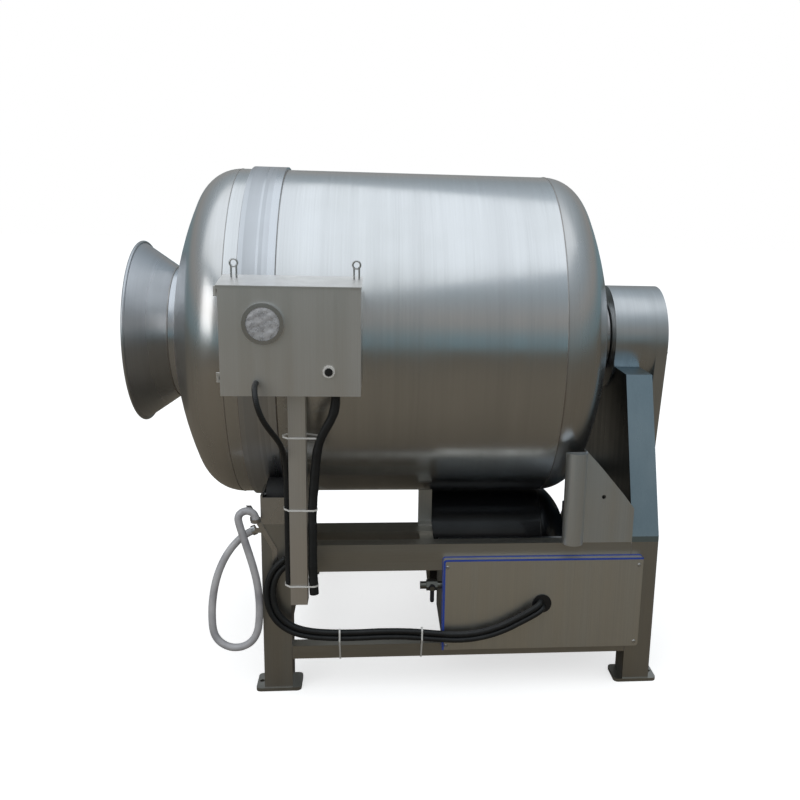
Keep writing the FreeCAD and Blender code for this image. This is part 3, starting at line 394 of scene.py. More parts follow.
def turned(name: str, profile: Sequence[tuple[float, float]], start: Point, way: Point,
           material: bpy.types.Material, steps: int = 64) -> bpy.types.Object:
    """A solid of revolution.

    Args:
        name: the piece's name.
        profile: (distance along the axis, radius) points; the ends close on the axis.
        start: where the axis starts.
        way: the axis's direction.
        material: its finish.
        steps: faces round the axis.

    Returns:
        The new object.
    """
    turn = Vector((0, 0, 1)).rotation_difference(Vector(way)).to_matrix().to_4x4()
    place = Matrix.Translation(start) @ turn
    shape = bmesh.new()
    rings = []
    for along, radius in profile:
        if radius < 1e-7:
            rings.append([shape.verts.new(place @ Vector((0, 0, along)))])
            continue
        rings.append([shape.verts.new(place @ Vector((radius * math.cos(a), radius * math.sin(a), along)))
                      for a in (2 * math.pi * i / steps for i in range(steps))])
    for low, high in zip(rings, rings[1:]):
        for i in range(steps):
            corner = [low[i % len(low)], low[(i + 1) % len(low)], high[(i + 1) % len(high)], high[i % len(high)]]
            face = list(dict.fromkeys(corner))
            if len(face) > 2:
                shape.faces.new(face)
    made = mesh_object(name, shape, material)
    made.data.set_sharp_from_angle(angle=math.radians(35))
    return made


def slab(name: str, low: Point, high: Point, material: bpy.types.Material, bevel: float = 0.0006,
         sections: int = 2) -> bpy.types.Object:
    """A block with rounded edges.

    Args:
        name: the piece's name.
        low: its lowest corner.
        high: its highest corner.
        material: its finish.
        bevel: the edges' radius.
        sections: faces across each rounded edge.

    Returns:
        The new object.
    """
    shape = bmesh.new()
    bmesh.ops.create_cube(shape, size=1.0)
    size = [b - a for a, b in zip(low, high)]
    middle = [(a + b) / 2 for a, b in zip(low, high)]
    bmesh.ops.scale(shape, vec=size, verts=shape.verts)
    bmesh.ops.translate(shape, vec=middle, verts=shape.verts)
    bmesh.ops.bevel(shape, geom=shape.edges[:], offset=bevel, segments=sections, affect="EDGES")
    made = mesh_object(name, shape, material)
    made.data.set_sharp_from_angle(angle=math.radians(35))
    return made


def joined(name: str, pieces: Sequence[bpy.types.Object]) -> bpy.types.Object:
    """Joins pieces into the first of them and renames it."""
    with bpy.context.temp_override(active_object=pieces[0], selected_editable_objects=list(pieces),
                                   object=pieces[0], selected_objects=list(pieces)):
        bpy.ops.object.join()
    pieces[0].name = pieces[0].data.name = name
    return pieces[0]


def path_curve(name: str, points: Sequence[Point], closed: bool = False, smooth: bool = False) -> bpy.types.Object:
    """A curve through points, as straight runs or as a smooth spline that they pull.

    Args:
        name: the curve's name.
        points: its points in metres.
        closed: whether it closes on itself.
        smooth: whether the points are the control points of a smooth spline.

    Returns:
        The new curve object, with no thickness.
    """
    data = bpy.data.curves.new(name, "CURVE")
    data.dimensions = "3D"
    data.resolution_u = 12
    spline = data.splines.new("NURBS" if smooth else "POLY")
    spline.points.add(len(points) - 1)
    for item, p in zip(spline.points, points):
        item.co = (*p, 1.0)
    if smooth:
        spline.order_u = 3
        spline.use_endpoint_u = True
    spline.use_cyclic_u = closed
    made = bpy.data.objects.new(name, data)
    bpy.context.scene.collection.objects.link(made)
    return made


def spline_points(curve: bpy.types.Object) -> list[Vector]:
    """The points of a curve's own line, read while it has no thickness."""
    mesh = bpy.data.meshes.new_from_object(curve)
    points = [v.co.copy() for v in mesh.vertices]
    bpy.data.meshes.remove(mesh)
    return points


# ------------------------------------------------------------------ geometry node trees
class NodeTree:
    """A geometry node tree under construction."""

    def __init__(self, name: str, inputs: Sequence[tuple[str, str, object]]) -> None:
        """Makes the tree with a Geometry input and the named ones.

        Args:
            name: the tree's name.
            inputs: (name, socket type, default) of each named input.
        """
        self.tree = bpy.data.node_groups.new(name, "GeometryNodeTree")
        face = self.tree.interface
        face.new_socket("Geometry", in_out="INPUT", socket_type="NodeSocketGeometry")
        for label, kind, default in inputs:
            made = face.new_socket(label, in_out="INPUT", socket_type=kind)
            if default is not None:
                made.default_value = default
        face.new_socket("Geometry", in_out="OUTPUT", socket_type="NodeSocketGeometry")
        self.entry = self.node("NodeGroupInput")
        self.exit = self.node("NodeGroupOutput")

    def node(self, kind: str, settings: dict | None = None, **inputs: object) -> bpy.types.Node:
        """Adds a node, sets its properties and links or sets its inputs by name."""
        made = self.tree.nodes.new(kind)
        for key, value in (settings or {}).items():
            setattr(made, key, value)
        for key, value in inputs.items():
            self.put(made.inputs[key.replace("_", " ")], value)
        return made

    def put(self, target: bpy.types.NodeSocket, value: object) -> None:
        """Links a socket to target, or sets its value."""
        if isinstance(value, bpy.types.NodeSocket):
            self.tree.links.new(value, target)
        else:
            target.default_value = value

    def sum(self, operation: str, a: object, b: object) -> bpy.types.NodeSocket:
        """One Math node."""
        made = self.node("ShaderNodeMath", {"operation": operation})
        self.put(made.inputs[0], a)
        self.put(made.inputs[1], b)
        return made.outputs[0]

    def close(self, geometry: bpy.types.NodeSocket, smooth: bool = True) -> bpy.types.NodeTree:
        """Ends the tree in Realize Instances and Set Material.

        Args:
            geometry: what the tree made.
            smooth: whether its faces are shaded smooth.

        Returns:
            The finished tree.
        """
        real = self.node("GeometryNodeRealizeInstances", Geometry=geometry)
        shaded = self.node("GeometryNodeSetShadeSmooth", Geometry=real.outputs[0], Shade_Smooth=smooth)
        dressed = self.node("GeometryNodeSetMaterial", Geometry=shaded.outputs[0],
                            Material=self.entry.outputs["Finish"])
        self.tree.links.new(dressed.outputs[0], self.exit.inputs[0])
        return self.tree


def bead_tree() -> bpy.types.NodeTree:
    """A curve swept by a round section whose radius ripples and swells along the way."""
    made = NodeTree("rippled_bead", [("Radius", "NodeSocketFloat", 0.002), ("Ripple", "NodeSocketFloat", 0.2),
                                     ("Pitch", "NodeSocketFloat", 0.004), ("Spacing", "NodeSocketFloat", 0.001),
                                     ("Swell", "NodeSocketFloat", 0.0), ("Sides", "NodeSocketInt", 8),
                                     ("Seed", "NodeSocketFloat", 3.0), ("Finish", "NodeSocketMaterial", None)])
    value = made.entry.outputs
    path = made.node("GeometryNodeResampleCurve", {"mode": "LENGTH"}, Curve=value["Geometry"],
                     Length=value["Spacing"])
    length = made.node("GeometryNodeSplineParameter").outputs["Length"]
    turn = made.sum("MULTIPLY", made.sum("DIVIDE", length, value["Pitch"]), 2 * math.pi)
    ripple = made.sum("MULTIPLY", made.sum("SINE", turn, 0.0), value["Ripple"])
    noise = made.node("ShaderNodeTexNoise", {"noise_dimensions": "4D"}, W=value["Seed"], Scale=22.0, Detail=2.0)
    swell = made.sum("MULTIPLY", made.sum("SUBTRACT", noise.outputs["Fac"], 0.5), value["Swell"])
    scale = made.sum("MULTIPLY", made.sum("ADD", made.sum("ADD", ripple, swell), 1.0), value["Radius"])
    ring = made.node("GeometryNodeCurvePrimitiveCircle", Resolution=value["Sides"], Radius=1.0)
    tube = made.node("GeometryNodeCurveToMesh", Curve=path.outputs[0], Profile_Curve=ring.outputs[0],
                     Scale=scale, Fill_Caps=True)
    return made.close(tube.outputs[0])


def stud_tree() -> bpy.types.NodeTree:
    """A copy of one part on every point, turned to the point's own direction."""
    made = NodeTree("studs_on_points", [("Part", "NodeSocketObject", None), ("Finish", "NodeSocketMaterial", None)])
    value = made.entry.outputs
    facing = made.node("GeometryNodeInputNamedAttribute", {"data_type": "FLOAT_VECTOR"}, Name="facing")
    turn = made.node("FunctionNodeAlignRotationToVector", {"axis": "Z"}, Vector=facing.outputs[0])
    part = made.node("GeometryNodeObjectInfo", Object=value["Part"])
    studs = made.node("GeometryNodeInstanceOnPoints", Points=value["Geometry"],
                      Instance=part.outputs["Geometry"], Rotation=turn.outputs[0])
    return made.close(studs.outputs[0], smooth=False)


def grown(name: str, source: bpy.types.Object, tree: bpy.types.NodeTree, **inputs: object) -> bpy.types.Object:
    """Runs a node tree on an object and keeps the result as a plain mesh.

    Args:
        name: the new piece's name.
        source: the object that the tree starts from; it is removed.
        tree: the geometry node tree.
        inputs: values for the tree's named inputs.

    Returns:
        The new mesh object.
    """
    modifier = source.modifiers.new("grow", "NODES")
    modifier.node_group = tree
    sockets = {i.name: i.identifier for i in tree.interface.items_tree if i.in_out == "INPUT"}
    for key, value in inputs.items():
        modifier[sockets[key]] = value
    bpy.context.view_layer.update()
    seen = source.evaluated_get(bpy.context.evaluated_depsgraph_get())
    mesh = bpy.data.meshes.new_from_object(seen)
    mesh.name = name
    source.modifiers.remove(modifier)
    made = bpy.data.objects.new(name, mesh)
    bpy.context.scene.collection.objects.link(made)
    bpy.data.objects.remove(source)
    return made


@dataclass
class Workshop:
    """What every sub-assembly needs to build and dress its pieces."""

    finishes: Finishes = field(default_factory=Finishes)
    bead: bpy.types.NodeTree | None = None
    stud: bpy.types.NodeTree | None = None

    def __post_init__(self) -> None:
        """Builds the shared node trees."""
        self.bead = bead_tree()
        self.stud = stud_tree()

    def paint(self, finish: object) -> bpy.types.Material:
        """The material of a finish."""
        return self.finishes.add(finish)

    def dress(self, finish: object, *nodes: str) -> None:
        """Gives carried-over CAD nodes a finish."""
        for node in nodes:
            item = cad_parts[node]
            item.data.materials.clear()
            item.data.materials.append(self.paint(finish))

    def ride(self, piece: bpy.types.Object, body: Body, slot: Slot, *replaced: str) -> bpy.types.Object:
        """Fixes a finished piece to a body, hides the CAD nodes that it replaces, and reports it."""
        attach(piece, body.value)
        if replaced:
            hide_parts(*replaced)
        LOG.info("%s rides on %s", piece.name, body.value)
        return piece

    def weld(self, name: str, points: Sequence[Point], radius: float, body: Body, slot: Slot,
             closed: bool = False, finish: Steel = WELD) -> bpy.types.Object:
        """A rippled weld bead along straight runs between points."""
        made = grown(name, path_curve(name + "_path", points, closed), self.bead, Radius=radius, Ripple=0.16,
                     Pitch=0.0045, Spacing=0.0013, Swell=0.5, Sides=6, Finish=self.paint(finish))
        return self.ride(made, body, slot)

    def ring_weld(self, name: str, x: float, ring: float, radius: float, body: Body, slot: Slot,
                  finish: Steel = WELD) -> bpy.types.Object:
        """A weld bead round the drum's axis."""
        steps = 180
        points = [(x, ring * math.cos(a), AXIS_Z + ring * math.sin(a))
                  for a in (2 * math.pi * i / steps for i in range(steps))]
        made = grown(name, path_curve(name + "_path", points, True), self.bead, Radius=radius, Ripple=0.14,
                     Pitch=0.006, Spacing=0.003, Swell=0.35, Sides=6, Finish=self.paint(finish))
        return self.ride(made, body, slot)

    def studs(self, name: str, part: bpy.types.Object, places: Sequence[tuple[Point, Point]], finish: object,
              body: Body, slot: Slot, *replaced: str) -> bpy.types.Object:
        """Copies of one part at (place, direction) pairs; the part itself is removed."""
        mesh = bpy.data.meshes.new(name + "_points")
        mesh.from_pydata([p for p, _ in places], [], [])
        facing = mesh.attributes.new("facing", "FLOAT_VECTOR", "POINT")
        for item, (_, way) in zip(facing.data, places):
            item.vector = way
        source = bpy.data.objects.new(name + "_points", mesh)
        bpy.context.scene.collection.objects.link(source)
        made = grown(name, source, self.stud, Part=part, Finish=self.paint(finish))
        made.data.set_sharp_from_angle(angle=math.radians(35))
        bpy.data.objects.remove(part)
        return self.ride(made, body, slot, *replaced)


# ------------------------------------------------------------------ the drum
@dataclass
class Drum:
    """The turning drum with its weld seams and loading cone."""

    shop: Workshop
    seams: tuple[float, float] = (-0.657, 0.263)
    ring: tuple[float, float] = (-0.619, -0.521)
    neck_x: float = -0.8625
    neck_r: float = 0.2005

    def dress(self) -> None:
        """Finishes of the drum's own CAD nodes."""
        self.shop.dress(SHELL, "drum_shell", "mixing_flights")
        self.shop.dress(HEAD, "drum_front_head", "drum_rear_head")
        self.shop.dress(RING, "riding_ring")
        self.shop.dress(CONE, "neck_collar", "loading_cone", "lid_disc")
        self.shop.dress(PLATED, "hub_shaft", "lid_grip")
        self.shop.dress(RUBBER, "lid_seal")
        self.shop.dress(CHAIN_IRON, "driven_sprocket")

    def seal(self) -> None:
        """Weld beads round the drum."""
        for name, x, ring, bead in (("front_seam", self.seams[0], DRUM_R - 0.0006, 0.0016),
                                    ("rear_seam", self.seams[1], DRUM_R - 0.0006, 0.0020),
                                    ("ring_front_weld", self.ring[0] - 0.0005, DRUM_R + 0.0008, 0.0018),
                                    ("ring_rear_weld", self.ring[1] + 0.0005, DRUM_R + 0.0008, 0.0018),
                                    ("neck_weld", self.neck_x, self.neck_r, 0.0022)):
            self.shop.ring_weld(name, x, ring, bead, Body.DRUM, Slot.DRUM)


# ------------------------------------------------------------------ the stand
@dataclass
class Stand:
    """Legs, rails, pedestal and their welds."""

    shop: Workshop
    leg_x: float = 0.533
    leg_y: float = 0.410
    half: float = 0.040
    rail_z: tuple[float, float] = (0.369, 0.449)
    low_z: tuple[float, float] = (0.100, 0.140)

    def dress(self) -> None:
        """Finishes of the stand's CAD nodes."""
        dress = self.shop.dress
        dress(TUBE_Z, "leg_front_near", "leg_front_far", "leg_rear_near", "leg_rear_far", "sensor_stand")
        dress(TUBE_X, "rail_upper_near", "rail_upper_far", "rail_lower_near", "rail_lower_far", "inner_rail")
        dress(TUBE_Y, "cross_rail_front_upper", "cross_rail_front_lower", "cross_rail_rear_upper",
              "cross_rail_rear_lower", "tank_cradles")
        dress(PEDESTAL, "pedestal")
        dress(GUARD, "drive_guard")
        dress(POST, "control_post")
        dress(PLATED, "roller_bracket_near", "roller_bracket_far", "hose_bracket")
        dress(NYLON, "roller_near", "roller_far")

    def weld(self) -> None:
        """Short beads where the near rails meet the near legs."""
        y = -self.leg_y - self.half + 0.0002
        for side, label in ((-1, "front"), (1, "rear")):
            x = side * (self.leg_x - self.half)
            for (z0, z1), height in ((self.rail_z, "upper"), (self.low_z, "lower")):
                points = [(x, y, z0 + 0.002), (x, y, z1 - 0.002), (x, y + 0.036, z1 + 0.0002)]
                self.shop.weld(f"weld_{label}_{height}", points, 0.0016, Body.FRAME, Slot.FRAME)


# ------------------------------------------------------------------ the drive end
@dataclass
class DriveEnd:
    """Bearing housing, chain cover, gearmotor, shaft bearings and pinion."""

    shop: Workshop
    housing_x: tuple[float, float] = (0.488, 0.619)
    housing_r: float = 0.166

    def dress(self) -> None:
        """Finishes of the drive's CAD nodes."""
        self.shop.dress(HOUSING, "bearing_housing", "chain_cover")
        self.shop.dress(MOTOR_PAINT, "gearmotor")
        self.shop.dress(CHAIN_IRON, "shaft_bearings", "drive_pinion")


# ------------------------------------------------------------------ the vacuum tank
@dataclass
class Tank:
    """The black vacuum tank under the drum."""

    shop: Workshop
    radius: float = 0.165
    height: float = 0.308
    seam_x: float = 0.283

    def build(self) -> None:
        """Paint and the seam between shell and dome."""
        self.shop.dress(TANK_PAINT, "vacuum_tank")
        steps = 90
        ring = self.radius - 0.0005
        points = [(self.seam_x, ring * math.cos(a), self.height + ring * math.sin(a))
                  for a in (2 * math.pi * i / steps for i in range(steps))]
        made = grown("tank_seam", path_curve("tank_seam_path", points, True), self.shop.bead, Radius=0.0022,
                     Ripple=0.12, Pitch=0.006, Spacing=0.003, Swell=0.3, Sides=6,
                     Finish=self.shop.paint(TANK_PAINT))
        self.shop.ride(made, Body.FRAME, Slot.TANK)


# ------------------------------------------------------------------ the side cabinet
@dataclass
class Cabinet:
    """The side cabinet, its front panel and its valve."""

    shop: Workshop
    panel: tuple[float, float, float, float] = (-0.060, 0.526, 0.128, 0.409)
    face_y: float = -0.470

    def dress(self) -> None:
        """Finishes of the cabinet's CAD nodes."""
        self.shop.dress(CABINET, "cabinet_body")
        self.shop.dress(PANEL, "cabinet_panel")
        self.shop.dress(BLUE_EDGE, "cabinet_gasket")
        self.shop.dress(BLACK_PLASTIC, "cabinet_gland")
        self.shop.dress(VALVE_STEEL, "valve_body")
        self.shop.dress(PLATED, "cover_screws")
        self.shop.dress(LEVER_PAINT, "valve_lever")

    def edge(self) -> None:
        """The blue film left along the panel's top and left edges."""
        x0, x1, z0, z1 = self.panel
        face, thick, lap = self.face_y, 0.0004, 0.006
        shape = bmesh.new()
        corners = ((x1, z1), (x0 + 0.008, z1), (x0 + 0.0023, z1 - 0.0023), (x0, z1 - 0.008), (x0, z0))
        inner = ((x1, z1 - lap), (x0 + 0.009, z1 - lap), (x0 + 0.0073, z1 - 0.0073), (x0 + lap, z1 - 0.009),
                 (x0 + lap, z0))
        rows = [[shape.verts.new((x, y, z)) for x, z in ring]
                for ring, y in ((corners, face - thick), (inner, face - thick), (inner, face), (corners, face))]
        for low, high in zip(rows, rows[1:] + rows[:1]):
            for i in range(len(low) - 1):
                shape.faces.new((low[i], low[i + 1], high[i + 1], high[i]))
        for end in (0, -1):
            shape.faces.new([row[end] for row in rows])
        self.shop.ride(mesh_object("panel_blue_edge", shape, self.shop.paint(BLUE_EDGE), smooth=False),
                       Body.FRAME, Slot.PLASTIC)


# ------------------------------------------------------------------ the control box
@dataclass
class ControlBox:
    """The control box with its gauge and push button."""

    shop: Workshop
    face_y: float = -0.640
    gauge: tuple[float, float] = (-0.530, 1.104)
    dial_r: float = 0.0405
    depth: float = 0.014
    ticks: int = 51
    sweep: float = 270.0

    def dress(self) -> None:
        """Finishes of the box's CAD nodes."""
        self.shop.dress(BOX, "control_box", "side_hatch")
        self.shop.dress(PLATED, "lifting_loops", "gauge_case")
        self.shop.dress(WHITE_PLASTIC, "button_bezel")
        self.shop.dress(BLACK_PLASTIC, "button_cap")
        self.shop.dress(INK, "gauge_needle")

    def dial(self) -> None:
        """The gauge's printed face with its scale, and the window."""
        x, z = self.gauge
        face = self.face_y - 0.003
        plate = turned("gauge_dial", [(0, 0), (0, self.dial_r), (0.0008, self.dial_r), (0.0008, 0)],
                       (x, face, z), (0, -1, 0), self.shop.paint(DIAL))
        self.shop.ride(plate, Body.FRAME, Slot.BEZEL)
        mark = slab("mark", (-0.0003, -0.0022, 0), (0.0003, 0.0022, 0.0002), self.shop.paint(INK), 0.00005, 1)
        shape = bmesh.new()
        for i in range(self.ticks):
            turn = math.radians(-225 + self.sweep * i / (self.ticks - 1))
            grow = 1.5 if i % 5 == 0 else 0.8
            reach = self.dial_r - 0.004 - 0.0022 * (grow - 1)
            place = (Matrix.Translation((x - reach * math.cos(turn), face - 0.0008, z - reach * math.sin(turn)))
                     @ Matrix.Rotation(math.pi / 2, 4, "X") @ Matrix.Rotation(turn + math.pi / 2, 4, "Z")
                     @ Matrix.Diagonal((grow, grow, 1.0, 1.0)))
            copy = bmesh.new()
            copy.from_mesh(mark.data)
            copy.transform(place)
            piece = bpy.data.meshes.new("mark_copy")
            copy.to_mesh(piece)
            copy.free()
            shape.from_mesh(piece)
            bpy.data.meshes.remove(piece)
        bpy.data.objects.remove(mark)
        scale = mesh_object("gauge_scale", shape, self.shop.paint(INK), smooth=False)
        self.shop.ride(scale, Body.FRAME, Slot.NEEDLE)
        glass = turned("gauge_window", [(0, 0), (0, self.dial_r + 0.0002), (0.0015, self.dial_r + 0.0002), (0.0015, 0)],
                       (x, self.face_y - self.depth + 0.0035, z), (0, -1, 0), self.shop.paint(Glass()))
        self.shop.ride(glass, Body.FRAME, Slot.BEZEL)

    def film(self) -> None:
        """The crumpled clear film still wrapped over the gauge's window."""
        x, z = self.gauge
        shape = bmesh.new()
        rings, steps, rim = 14, 56, 0.0415
        grid = []
        for i in range(rings + 1):
            radius = rim * i / rings
            row = []
            for j in range(1 if i == 0 else steps):
                a = 2 * math.pi * j / steps
                px, pz = radius * math.cos(a), radius * math.sin(a)
                fold = (abs(math.sin(95 * px + 60 * pz + 1.3)) + abs(math.sin(150 * pz - 70 * px))
                        + abs(math.sin(210 * px + 0.7) * math.cos(160 * pz)))
                lift = 0.0016 * fold * min(1.0, (rings - i) / 3.0)
                row.append(shape.verts.new((x + px, self.face_y - self.depth + 0.0012 - lift, z + pz)))
            grid.append(row)
        for i in range(rings):
            low, high = grid[i], grid[i + 1]
            for j in range(steps):
                corner = [low[j % len(low)], high[j], high[(j + 1) % steps], low[(j + 1) % len(low)]]
                shape.faces.new(list(dict.fromkeys(corner)))
        made = mesh_object("gauge_film", shape, self.shop.paint(Film("clear_film", (0.80, 0.81, 0.84), 0.62, 60.0)))
        thick = made.modifiers.new("thick", "SOLIDIFY")
        thick.thickness = 0.0003
        self.shop.ride(made, Body.FRAME, Slot.BEZEL)


# ------------------------------------------------------------------ hoses, conduits and leads
class Cover(Enum):
    """How the surface of a line looks."""

    SMOOTH = "smooth"
    RIBBED = "ribbed"
    LUMPY = "lumpy"


@dataclass
class Line:
    """One flexible line along its control points."""

    shop: Workshop
    node: str
    radius: float
    route: tuple[Point, ...]
    length: float
    cover: Cover
    finish: object
    slot: Slot
    stiffness: str = "medium"

    def build(self) -> bpy.types.Object:
        metres = [tuple(c * MM for c in p) for p in self.route]
        curve = path_curve(self.node + "_route", metres, smooth=True)
        path = spline_points(curve)
        ripple, pitch, swell = {Cover.SMOOTH: (0.0, 0.01, 0.0), Cover.RIBBED: (0.05, 0.0042, 0.10),
                                Cover.LUMPY: (0.03, 0.0042, 0.42)}[self.cover]
        made = grown(self.node + "_line", curve, self.shop.bead, Radius=self.radius, Ripple=ripple, Pitch=pitch,
                     Spacing=0.0011 if ripple else 0.004, Swell=swell, Sides=20, Seed=float(len(self.route)),
                     Finish=self.shop.paint(self.finish))
        self.shop.ride(made, Body.FRAME, self.slot, self.node)
        return made


HOSE_ROUTE = ((-589, -439, 495), (-609, -440, 487), (-634, -442, 469), (-662, -446, 437), (-685, -451, 396),
              (-701, -457, 349), (-710, -463, 298), (-713, -468, 247), (-710, -471, 199), (-693.4, -473, 170.6),
              (-664.6, -475, 154), (-631.4, -476, 154), (-602.6, -477, 170.6), (-586, -477.5, 199.4),
              (-580, -478, 236), (-578, -478, 290), (-582, -478, 345), (-592, -478, 395), (-604, -478, 440),
              (-615, -478, 479), (-624, -478, 511), (-629, -477.5, 530), (-631, -476.5, 543),
              (-626, -475.5, 555), (-614, -474, 562), (-600.5, -473, 562), (-589.5, -471.5, 554.5),
              (-584, -470, 542.5), (-584, -469, 529.5))
THIN_ROUTE = ((-551, -640, 955), (-551, -662, 955), (-549, -684, 945), (-545, -698, 925), (-539, -700, 900),
              (-530, -690, 872), (-519, -668, 845), (-508, -636, 817), (-498, -600, 786), (-492, -569, 748),
              (-490.5, -549, 702), (-490.8, -543.5, 650), (-491, -543, 584), (-491, -542.5, 514),
              (-491, -543, 444), (-491, -543.2, 376))
THICK_ROUTE = ((-358, -574, 922), (-358, -574, 888), (-367, -573, 852), (-388, -570, 816),
               (-405, -565, 776), (-412, -561, 726), (-417, -557, 664), (-423, -556, 592), (-422, -556, 512),
               (-424, -556, 432), (-420, -556, 352))
LEAD_ROUTE = ((-498, -484, 418), (-520, -484, 401), (-538, -484, 375), (-548, -484, 342), (-549, -484, 303),
              (-539, -484, 263), (-515, -484, 229), (-479, -484, 206), (-431, -484, 194), (-368, -484, 189),
              (-300, -485, 189), (-228, -486, 192), (-150, -487, 190), (-76, -489, 182), (-4, -490, 177),
              (62, -490, 186), (118, -490, 205), (165, -491, 231), (196, -494, 250), (216, -492, 262),
              (228, -482, 269), (230, -462, 270))
LEAD_APART = 17.6


def beside(points: Sequence[Point], shift: float) -> tuple[Point, ...]:
    """A route beside another, moved in the XZ plane square to its own direction."""
    moved = []
    for i, p in enumerate(points):
        before, after = points[max(i - 1, 0)], points[min(i + 1, len(points) - 1)]
        way = Vector((after[0] - before[0], 0, after[2] - before[2])).normalized()
        moved.append((p[0] - way.z * shift, p[1], p[2] + way.x * shift))
    return tuple(moved)


@dataclass
class Harness:
    """All flexible lines and the white ties that hold them."""

    shop: Workshop

    def lines(self) -> None:
        """Builds the hose, the conduits and the leads."""
        common = (Cover.RIBBED, CONDUIT, Slot.CONDUIT)
        Line(self.shop, "hose_loop", 0.0105, HOSE_ROUTE, 0.935, Cover.SMOOTH, Pvc(), Slot.HOSE).build()
        Line(self.shop, "conduit_thin", 0.007, THIN_ROUTE, 0.680, *common).build()
        Line(self.shop, "conduit_thick", 0.012, THICK_ROUTE, 0.581, Cover.LUMPY, CONDUIT, Slot.CONDUIT).build()
        Line(self.shop, "cabinet_lead_low", 0.0085, beside(LEAD_ROUTE, -LEAD_APART / 2), 1.035, *common).build()
        Line(self.shop, "cabinet_lead_high", 0.0085, beside(LEAD_ROUTE, LEAD_APART / 2), 0.982, *common).build()

    def tie(self, name: str, at: float, upright: bool, outline: Sequence[tuple[float, float]]) -> None:
        """A flat nylon tie drawn tight round a bundle.

        Args:
            name: the piece's name.
            at: its place along the bundle, in Z, or in X where it is upright.
            upright: whether the bundle runs along X, so that the tie stands in the YZ plane.
            outline: the tie's corners in order, as (x, y), or as (y, z) where it is upright.
        """
        wide, thick = 0.0024, 0.0012
        middle = [sum(c) / len(outline) for c in zip(*outline)]
        shape = bmesh.new()
        rings = []
        for level, grow in ((-wide, 0.0), (wide, 0.0), (wide, thick), (-wide, thick)):
            ring = []
            for point in outline:
                reach = math.dist(point, middle)
                a, b = (m + (c - m) * (1 + grow / reach) for c, m in zip(point, middle))
                ring.append(shape.verts.new((at + level, a, b) if upright else (a, b, at + level)))
            rings.append(ring)
        for low, high in zip(rings, rings[1:] + rings[:1]):
            for i in range(len(low)):
                j = (i + 1) % len(low)
                shape.faces.new((low[i], low[j], high[j], high[i]))
        made = mesh_object(name, shape, self.shop.paint(TIE), smooth=False)
        self.shop.ride(made, Body.FRAME, Slot.BEZEL)

    def ties(self) -> None:
        """The white ties on the post and on the near lower rail."""
        for i, (z, right) in enumerate(((0.794, -0.386), (0.595, -0.410), (0.378, -0.410))):
            self.tie(f"post_tie_{i + 1}", z, False,
                     ((-0.4990, -0.5360), (-0.4970, -0.5520), (-0.4835, -0.5665), (right - 0.008, -0.5690),
                      (right, -0.5620), (right, -0.5500), (-0.4365, -0.5190), (-0.4835, -0.5190)))
        for i, x in enumerate((-0.3545, -0.1195)):
            self.tie(f"rail_tie_{i + 1}", x, True,
                     ((-0.4960, 0.2020), (-0.4880, 0.2085), (-0.4800, 0.2070), (-0.4090, 0.1415),
                      (-0.4090, 0.0990), (-0.4515, 0.0990), (-0.4960, 0.1740)))


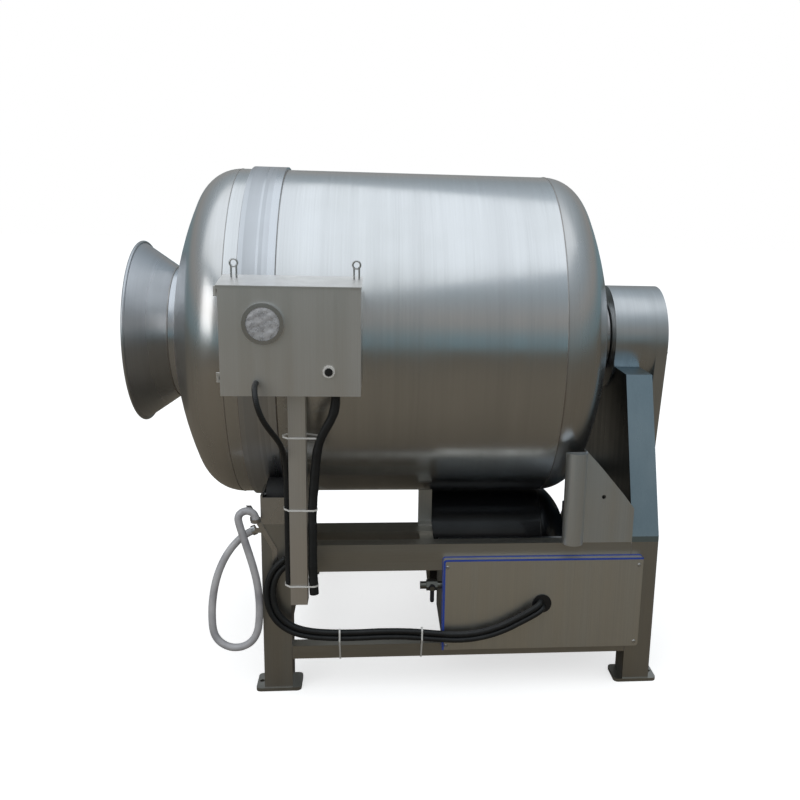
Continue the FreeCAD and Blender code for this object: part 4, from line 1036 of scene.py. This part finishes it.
# ------------------------------------------------------------------ the studio
@dataclass
class Studio:
    """Floor, light and camera."""

    camera_at: Point = (-0.2575, -2.7959, 1.3951)
    yaw: float = 5.7
    pitch: float = 12.5
    roll: float = 1.5
    lens: float = 39.3
    shift_x: float = -0.075
    floor_tone: Colour = (0.20, 0.17, 0.13)
    floor_lift: float = 0.62

    def world(self) -> None:
        """White behind, and a plain gradient from floor tone to bright ceiling in reflections."""
        world = bpy.data.worlds.new("studio")
        bpy.context.scene.world = world
        world.use_nodes = True
        tree = world.node_tree
        tree.nodes.clear()
        out = tree.nodes.new("ShaderNodeOutputWorld")
        way = tree.nodes.new("ShaderNodeTexCoord")
        split = tree.nodes.new("ShaderNodeSeparateXYZ")
        tree.links.new(way.outputs["Generated"], split.inputs[0])
        ramp = tree.nodes.new("ShaderNodeValToRGB")
        stops = ((0.00, (0.035, 0.036, 0.038)), (0.20, (0.16, 0.16, 0.13)), (0.34, (0.34, 0.24, 0.16)),
                 (0.42, (0.36, 0.27, 0.19)), (0.47, (0.16, 0.24, 0.27)), (0.55, (0.18, 0.26, 0.29)),
                 (0.64, (0.34, 0.32, 0.30)), (0.78, (0.32, 0.37, 0.40)), (0.93, (0.52, 0.59, 0.65)))
        while len(ramp.color_ramp.elements) < len(stops):
            ramp.color_ramp.elements.new(0.5)
        for item, (place, colour) in zip(ramp.color_ramp.elements, stops):
            item.position = place
            item.color = (*colour, 1.0)
        height = tree.nodes.new("ShaderNodeMapRange")
        height.inputs["From Min"].default_value = -1.0
        tree.links.new(split.outputs[2], height.inputs[0])
        tree.links.new(height.outputs[0], ramp.inputs[0])
        rays = tree.nodes.new("ShaderNodeLightPath")
        mirror = tree.nodes.new("ShaderNodeBackground")
        tree.links.new(ramp.outputs[0], mirror.inputs[0])
        mirror.inputs[1].default_value = 1.0
        plain = tree.nodes.new("ShaderNodeBackground")
        plain.inputs[0].default_value = (0.93, 0.97, 1.0, 1.0)
        plain.inputs[1].default_value = 0.62
        white = tree.nodes.new("ShaderNodeBackground")
        white.inputs[0].default_value = (1.0, 1.0, 1.0, 1.0)
        first, second = tree.nodes.new("ShaderNodeMixShader"), tree.nodes.new("ShaderNodeMixShader")
        tree.links.new(rays.outputs["Is Glossy Ray"], first.inputs[0])
        tree.links.new(plain.outputs[0], first.inputs[1])
        tree.links.new(mirror.outputs[0], first.inputs[2])
        clear = tree.nodes.new("ShaderNodeMath")
        clear.operation = "MAXIMUM"
        tree.links.new(rays.outputs["Is Camera Ray"], clear.inputs[0])
        tree.links.new(rays.outputs["Is Transmission Ray"], clear.inputs[1])
        tree.links.new(clear.outputs[0], second.inputs[0])
        tree.links.new(first.outputs[0], second.inputs[1])
        tree.links.new(white.outputs[0], second.inputs[2])
        tree.links.new(second.outputs[0], out.inputs[0])

    def floor(self) -> None:
        """A wide plain floor, white to the eye, that keeps the object's shadow."""
        shape = bmesh.new()
        bmesh.ops.create_grid(shape, x_segments=1, y_segments=1, size=30.0)
        shade = Shade("studio_floor")
        rays = shade.node("ShaderNodeLightPath")
        seen = shade.sum("MAXIMUM", rays.outputs["Is Camera Ray"], rays.outputs["Is Transmission Ray"])
        tone = shade.blend(seen, self.floor_tone, (0.80, 0.80, 0.80))
        material = shade.finish(Base_Color=tone, Roughness=0.9, Emission_Color=(1.0, 1.0, 1.0))
        lift = shade.sum("MULTIPLY", seen, self.floor_lift)
        shade.put(shade.surface.inputs["Emission Strength"], lift)
        shade.put(shade.surface.inputs["Specular IOR Level"], 0.0)
        made = mesh_object("studio_floor", shape, material)

    def lamps(self) -> None:
        """One large soft lamp above and a weaker one from the front left."""
        for name, size, power, place, target in (("soft_top", 5.2, 46.0, (-0.6, -0.6, 4.2), (0.0, 0.0, 0.6)),
                                                 ("soft_side", 2.2, 22.0, (-3.6, -3.0, 2.4), (0.0, 0.0, 0.8))):
            data = bpy.data.lights.new(name, "AREA")
            data.shape = "SQUARE"
            data.size = size
            data.energy = power
            made = bpy.data.objects.new(name, data)
            bpy.context.scene.collection.objects.link(made)
            made.location = place
            made.rotation_mode = "QUATERNION"
            made.rotation_quaternion = (Vector(target) - Vector(place)).to_track_quat("-Z", "Y")

    def camera(self) -> None:
        """The camera at the picture's own angle."""
        yaw, pitch, roll = (math.radians(a) for a in (self.yaw, self.pitch, self.roll))
        ahead = Vector((math.sin(yaw) * math.cos(pitch), math.cos(yaw) * math.cos(pitch), -math.sin(pitch)))
        right = Vector((math.cos(yaw), -math.sin(yaw), 0))
        up = right.cross(ahead)
        right, up = (right * math.cos(roll) + up * math.sin(roll), up * math.cos(roll) - right * math.sin(roll))
        data = bpy.data.cameras.new("camera")
        data.sensor_width = 36.0
        data.lens = self.lens
        data.shift_x = self.shift_x
        data.clip_end = 60.0
        made = bpy.data.objects.new("camera", data)
        bpy.context.scene.collection.objects.link(made)
        turn = Matrix((right, up, -ahead)).transposed().to_4x4()
        made.matrix_world = Matrix.Translation(self.camera_at) @ turn
        bpy.context.scene.camera = made

    def build(self) -> None:
        """Sets up the whole studio."""
        bpy.context.scene.view_settings.view_transform = "Standard"
        self.world()
        self.floor()
        self.lamps()
        self.camera()


def main() -> None:
    """Builds every sub-assembly in order."""
    logging.basicConfig(level=logging.INFO, format="%(name)s: %(message)s")
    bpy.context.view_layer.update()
    shop = Workshop()
    Studio().build()
    harness = Harness(shop)
    harness.lines()
    harness.ties()
    drum = Drum(shop)
    drum.dress()
    drum.seal()
    stand = Stand(shop)
    stand.dress()
    stand.weld()
    DriveEnd(shop).dress()
    Tank(shop).build()
    cabinet = Cabinet(shop)
    cabinet.dress()
    cabinet.edge()
    box = ControlBox(shop)
    box.dress()
    box.dial()
    box.film()


if __name__ == "__main__":
    main()
